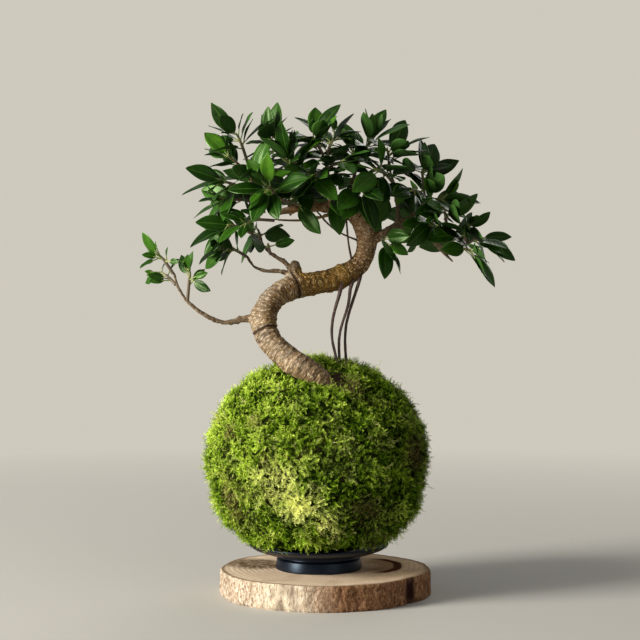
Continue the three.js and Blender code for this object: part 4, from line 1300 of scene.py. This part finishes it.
def build_moss_bed():
    mesh = refined_copy("moss_bed", "moss_cover", 2, None, 1)
    points, normals = mesh_arrays(mesh)
    outward = units(points - BALL_CENTRE)
    shell = (normals * outward).sum(axis=1) > BED_FACING
    lift = fractals(points, 1 / MOSS_CLUMP, 4) * BED_LUMPS - BED_SUNK
    points += outward * (shell * lift)[:, None]
    mesh.vertices.foreach_set("co", points.ravel())
    place(make_piece("moss_bed", mesh, [moss_bed_material()]), "moss", "moss_cover")


def moss_shades(draw, places, starts, outward, clump):
    """Shade of green of every shoot, how dry and pale it is, and how lime it is, from specks and from painted
    sunlight.
    """
    count = len(starts)
    kinds = (LIGHT_PATCHES, MOSS_SHADE_PATCHES, DRY_PATCHES, SUNLIT_PATCHES)
    light, painted_shade, dry_place, sunlit_place = (patch_strength(starts, patches) for patches in kinds)
    # painted light: lighter moss on the side of the ball that faces the light
    sun = (outward * unit(np.array(MOSS_SUN))).sum(axis=1)
    # painted light and shade: lighter on raised clumps, darker in the dips between them
    tone = MOSS_TONE + CLUMP_TONE * clump + SUN_TONE * sun + draw.normal(0, MOSS_TONE_SPREAD, count)
    # painted shade: darker moss in the shaded places to the right
    tone += LIGHT_TONE * light - MOSS_SHADE_TONE * painted_shade
    dry = np.clip((fractals(places, 26, 3) - 0.34) * 2.4, 0, 1) * 0.8 + dry_place
    dry = np.clip(dry, 0, 1) * (draw.random(count) < DRY_SHARE)
    speckle = fractals(places + 3.0, 60, 3)
    # painted sunlight: bright lime patches, and lime specks all over from the noise
    lime_and_sunlit = sunlit_place * np.clip(0.85 + 3.4 * speckle, 0, 1) + 0.25 * np.clip(speckle, 0, 1)
    lime_and_sunlit = np.clip(lime_and_sunlit, 0, 1) * (1 - dry)
    return tone, {"dry": dry, "lime_and_sunlit": lime_and_sunlit, "pale": PALE_STRENGTH * (draw.random(count) < PALE_SHARE)}


def moss_keeps_clear(starts, shoot_points):
    """Leaves out shoots that would stand in the trunk, reach through the dish or stand too far out."""
    front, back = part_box("moss_cover")
    depth = shoot_points[:, :, 1]
    far_out = (depth.min(axis=1) < front.y - MOSS_PROUD) | (depth.max(axis=1) > back.y + MOSS_PROUD)
    low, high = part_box("footed_dish")
    centre = np.array([(low.x + high.x) / 2, 0])
    spread = norm(shoot_points[:, :, :2] - centre, axis=2).max(axis=1)
    lowest = shoot_points[:, :, 2].min(axis=1)
    rim = (high.x - low.x) / 2
    in_dish = (lowest < high.z + RIM_GAP_OVER) & (spread < rim + RIM_GAP_BESIDE)
    too_low = lowest <= high.z - MOSS_HANGS
    return (trunk_gap(starts) > MOSS_TRUNK_GAP) & ~in_dish & ~far_out & ~too_low


def one_each(draw, count):
    """Function that gives every shoot a random value between two limits, as a column."""
    return lambda low, high: draw.uniform(low, high, (count, 1))


def moss_frames(draw, outward):
    """Of every shoot: the directions along it, up from it and to its side, its length and its curl."""
    any_from = one_each(draw, len(outward))
    side = units(np.cross(outward, draw.normal(size=outward.shape)))
    lean = np.cross(side, outward)
    stray = draw.random((len(outward), 1)) < MOSS_STRAYS
    steep = np.where(stray, any_from(*STRAY_STEEPNESS), any_from(*MOSS_STEEPNESS))
    length = any_from(*MOSS_LENGTH) * np.where(stray, STRAY_LENGTH, 1)
    forward = lean * np.cos(steep) + outward * np.sin(steep)
    up = outward * np.cos(steep) - lean * np.sin(steep)
    curl = up * any_from(-0.5, 0.45) * length
    curl += side * any_from(-0.5, 0.5) * length
    return forward, up, side, length, curl


def moss_blades(draw, starts, frames, tone):
    """Corners of the blades of every shoot, with how near its tip and of which shade each corner is."""
    forward, up, side, length, curl = frames
    any_from = one_each(draw, len(starts))
    corners, tips, tones = [], [], []

    def stem(share):
        return starts + forward * length * share + curl * share ** 2

    def add_blade(root, middle, end, across, width, root_tip, end_tip):
        corners.extend([root, middle - across * width, end, middle + across * width])
        tips.extend([root_tip, (root_tip + end_tip) / 2, end_tip, (root_tip + end_tip) / 2])
        tones.extend([np.clip(tone + draw.normal(0, BRANCH_TONE_SPREAD, len(starts)), 0, 1)] * 4)

    for k in range(MOSS_PAIRS):
        for hand in (-1, 1):
            share = (k + 0.75 + 0.25 * hand) / MOSS_PAIRS
            root = stem(share)
            size = length * (0.4 - 0.2 * share) * any_from(0.7, 1.3)
            heading = forward * 0.55 + side * any_from(0.55, 0.95) * hand + up * any_from(-0.35, 0.55)
            bend = forward * any_from(-0.1, 0.7) + up * any_from(-0.6, 0.6)
            middle = root + heading * size * 0.5
            across = units(np.cross(heading, up + 0.6 * draw.normal(size=starts.shape)))
            end = middle + (heading * 0.6 + bend * 0.5) * size * 0.6
            near_tip = share * 0.8
            add_blade(root, middle, end, across, MOSS_BRANCH_WIDTH, near_tip, min(1.0, near_tip + 0.35))
    add_blade(stem(0), stem(0.3), stem(0.62), side, MOSS_BRANCH_WIDTH * 0.8, 0, 0.5)
    add_blade(stem(0.55), stem(0.8), stem(1.08), side, MOSS_BRANCH_WIDTH, 0.5, 1)
    values = {"tip": np.tile(tips, (len(starts), 1)), "tone": np.stack(tones, axis=1)}
    return np.stack(corners, axis=1), values


def build_moss(material):
    draw = np.random.default_rng(MOSS_SEED)
    places = scattered(draw, *outer_triangles(), MOSS_SHOOTS)
    places = np.vstack([places, soil_places(draw, LIP_SHOOTS, *LIP_RANGE)])
    outward = units(places - BALL_CENTRE)
    clump = fractals(places, 1 / MOSS_CLUMP, 3)
    starts = places + outward * (clump * MOSS_CLUMP_DEPTH - MOSS_SUNK)[:, None]
    frames = moss_frames(draw, outward)
    tone, shades = moss_shades(draw, places, starts, outward, clump)
    points, values = moss_blades(draw, starts, frames, tone)
    corners = points.shape[1]
    for key, column in shades.items():
        values[key] = np.repeat(column[:, None], corners, axis=1)
    kept = np.flatnonzero(moss_keeps_clear(starts, points))
    for index, chosen in enumerate(np.array_split(kept, MOSS_PIECES)):
        name = "moss_shoots_" + str(index + 1)
        quads = np.arange(len(chosen) * corners).reshape(-1, 4)
        mesh = make_mesh(name, points[chosen].reshape(-1, 3), quads)
        columns = {key: column[chosen].ravel() for key, column in values.items()}
        place(make_piece(name, mesh, [material], columns, smooth=False), "moss")


# Soil in the opening

def crumb_form():
    """Points and triangles of a twenty-sided grain of radius 1."""
    mesh = bpy.data.meshes.new("crumb")
    form = bmesh.new()
    bmesh.ops.create_icosphere(form, subdivisions=1, radius=1)
    form.to_mesh(mesh)
    form.free()
    points = np.array([tuple(corner.co) for corner in mesh.vertices])
    faces = np.array([tuple(side.vertices) for side in mesh.polygons])
    bpy.data.meshes.remove(mesh)
    return points, faces


def build_crumbs(draw, material):
    grain, grain_faces = crumb_form()
    points, faces = [], []
    for middle in soil_places(draw, CRUMBS, *CRUMB_RANGE):
        size = draw.uniform(*CRUMB_RADIUS) * draw.uniform(0.6, 1.2, 3)
        faces.append(grain_faces + len(grain) * len(points))
        points.append(middle + grain * size * draw.uniform(0.8, 1.2, (len(grain), 1)))
    mesh = make_mesh("soil_crumbs", np.vstack(points), np.vstack(faces))
    place(make_piece("soil_crumbs", mesh, [material], smooth=False), "soil")


def build_fibres(draw):
    """Fine red-brown fibres, each a short arch that turns a little to one side."""
    points, faces = [], []
    for start in soil_places(draw, FIBRES, *FIBRE_RANGE):
        heading = unit(draw.normal(size=3) * (1, 1, 0.25))
        turn = unit(np.cross(heading, (0, 0, 1))) * draw.uniform(-0.5, 0.5)
        span = draw.uniform(*FIBRE_SPAN)
        stops = [
            start + heading * span * s + turn * span * s * s + (0, 0, FIBRE_RISE * (1 - s * s))
            for s in (-1, -0.4, 0.3, 1)
        ]
        line = smooth_line(stops, FIBRE_RINGS)
        fibre, fibre_faces = tube(line, np.full(FIBRE_RINGS, FIBRE_RADIUS), FIBRE_SIDES)
        first = sum(map(len, points))
        faces.extend(tuple(first + corner for corner in face) for face in fibre_faces)
        points.append(fibre)
    mesh = make_mesh("soil_fibres", np.vstack(points), faces)
    place(make_piece("soil_fibres", mesh, [root_material()]), "soil")


def build_soil():
    material = soil_material()
    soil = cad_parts["soil_ball"].data
    soil.materials.clear()
    soil.materials.append(material)
    draw = np.random.default_rng(SOIL_SEED)
    build_crumbs(draw, material)
    build_fibres(draw)


# Stage, lights and camera

def build_stage():
    """Wide flat floor that fades into the background, so that the plant stands free from every side."""
    ends = (-FLOOR_SPAN, FLOOR_SPAN)
    corners = [(x, y, 0) for x in ends for y in ends]
    make_piece("floor", make_mesh("floor", corners, [(0, 2, 3, 1)]), [floor_material()])


def build_lights():
    """Pale background, even light from all round, and large soft lights."""
    world = bpy.data.worlds.new("soft_room")
    make = Nodes(world)
    seen = make.add("ShaderNodeLightPath", "Is Camera Ray", {})
    colour = make.mix(seen, (ROOM_LIGHT,) * 3, BACKGROUND)
    make.feed(make.tree.nodes["Background"].inputs["Color"], colour)
    bpy.context.scene.world = world
    for name, (middle, (width, height), power, colour) in LIGHTS.items():
        data = bpy.data.lights.new(name, "AREA")
        data.shape = "RECTANGLE"
        data.size = width
        data.size_y = height
        data.energy = power
        data.color = colour
        light = bpy.data.objects.new(name, data)
        light.location = middle
        light.rotation_euler = (Vector(LIGHT_AIM) - Vector(middle)).to_track_quat("-Z", "Y").to_euler()
        bpy.context.scene.collection.objects.link(light)
    bpy.context.scene.view_settings.view_transform = "Standard"


def build_camera():
    data = bpy.data.cameras.new("camera")
    data.sensor_width = SENSOR_WIDTH
    data.lens = CAMERA_LENS
    camera = bpy.data.objects.new("camera", data)
    camera.location = CAMERA_PLACE
    camera.rotation_euler = (math.pi / 2, 0, 0)
    bpy.context.scene.collection.objects.link(camera)
    bpy.context.scene.camera = camera


build_camera()
build_stage()
build_lights()
build_slice()
build_dish()
build_soil()
build_trunk()
build_roots()
build_shoots()
build_moss_bed()
build_moss(moss_material())
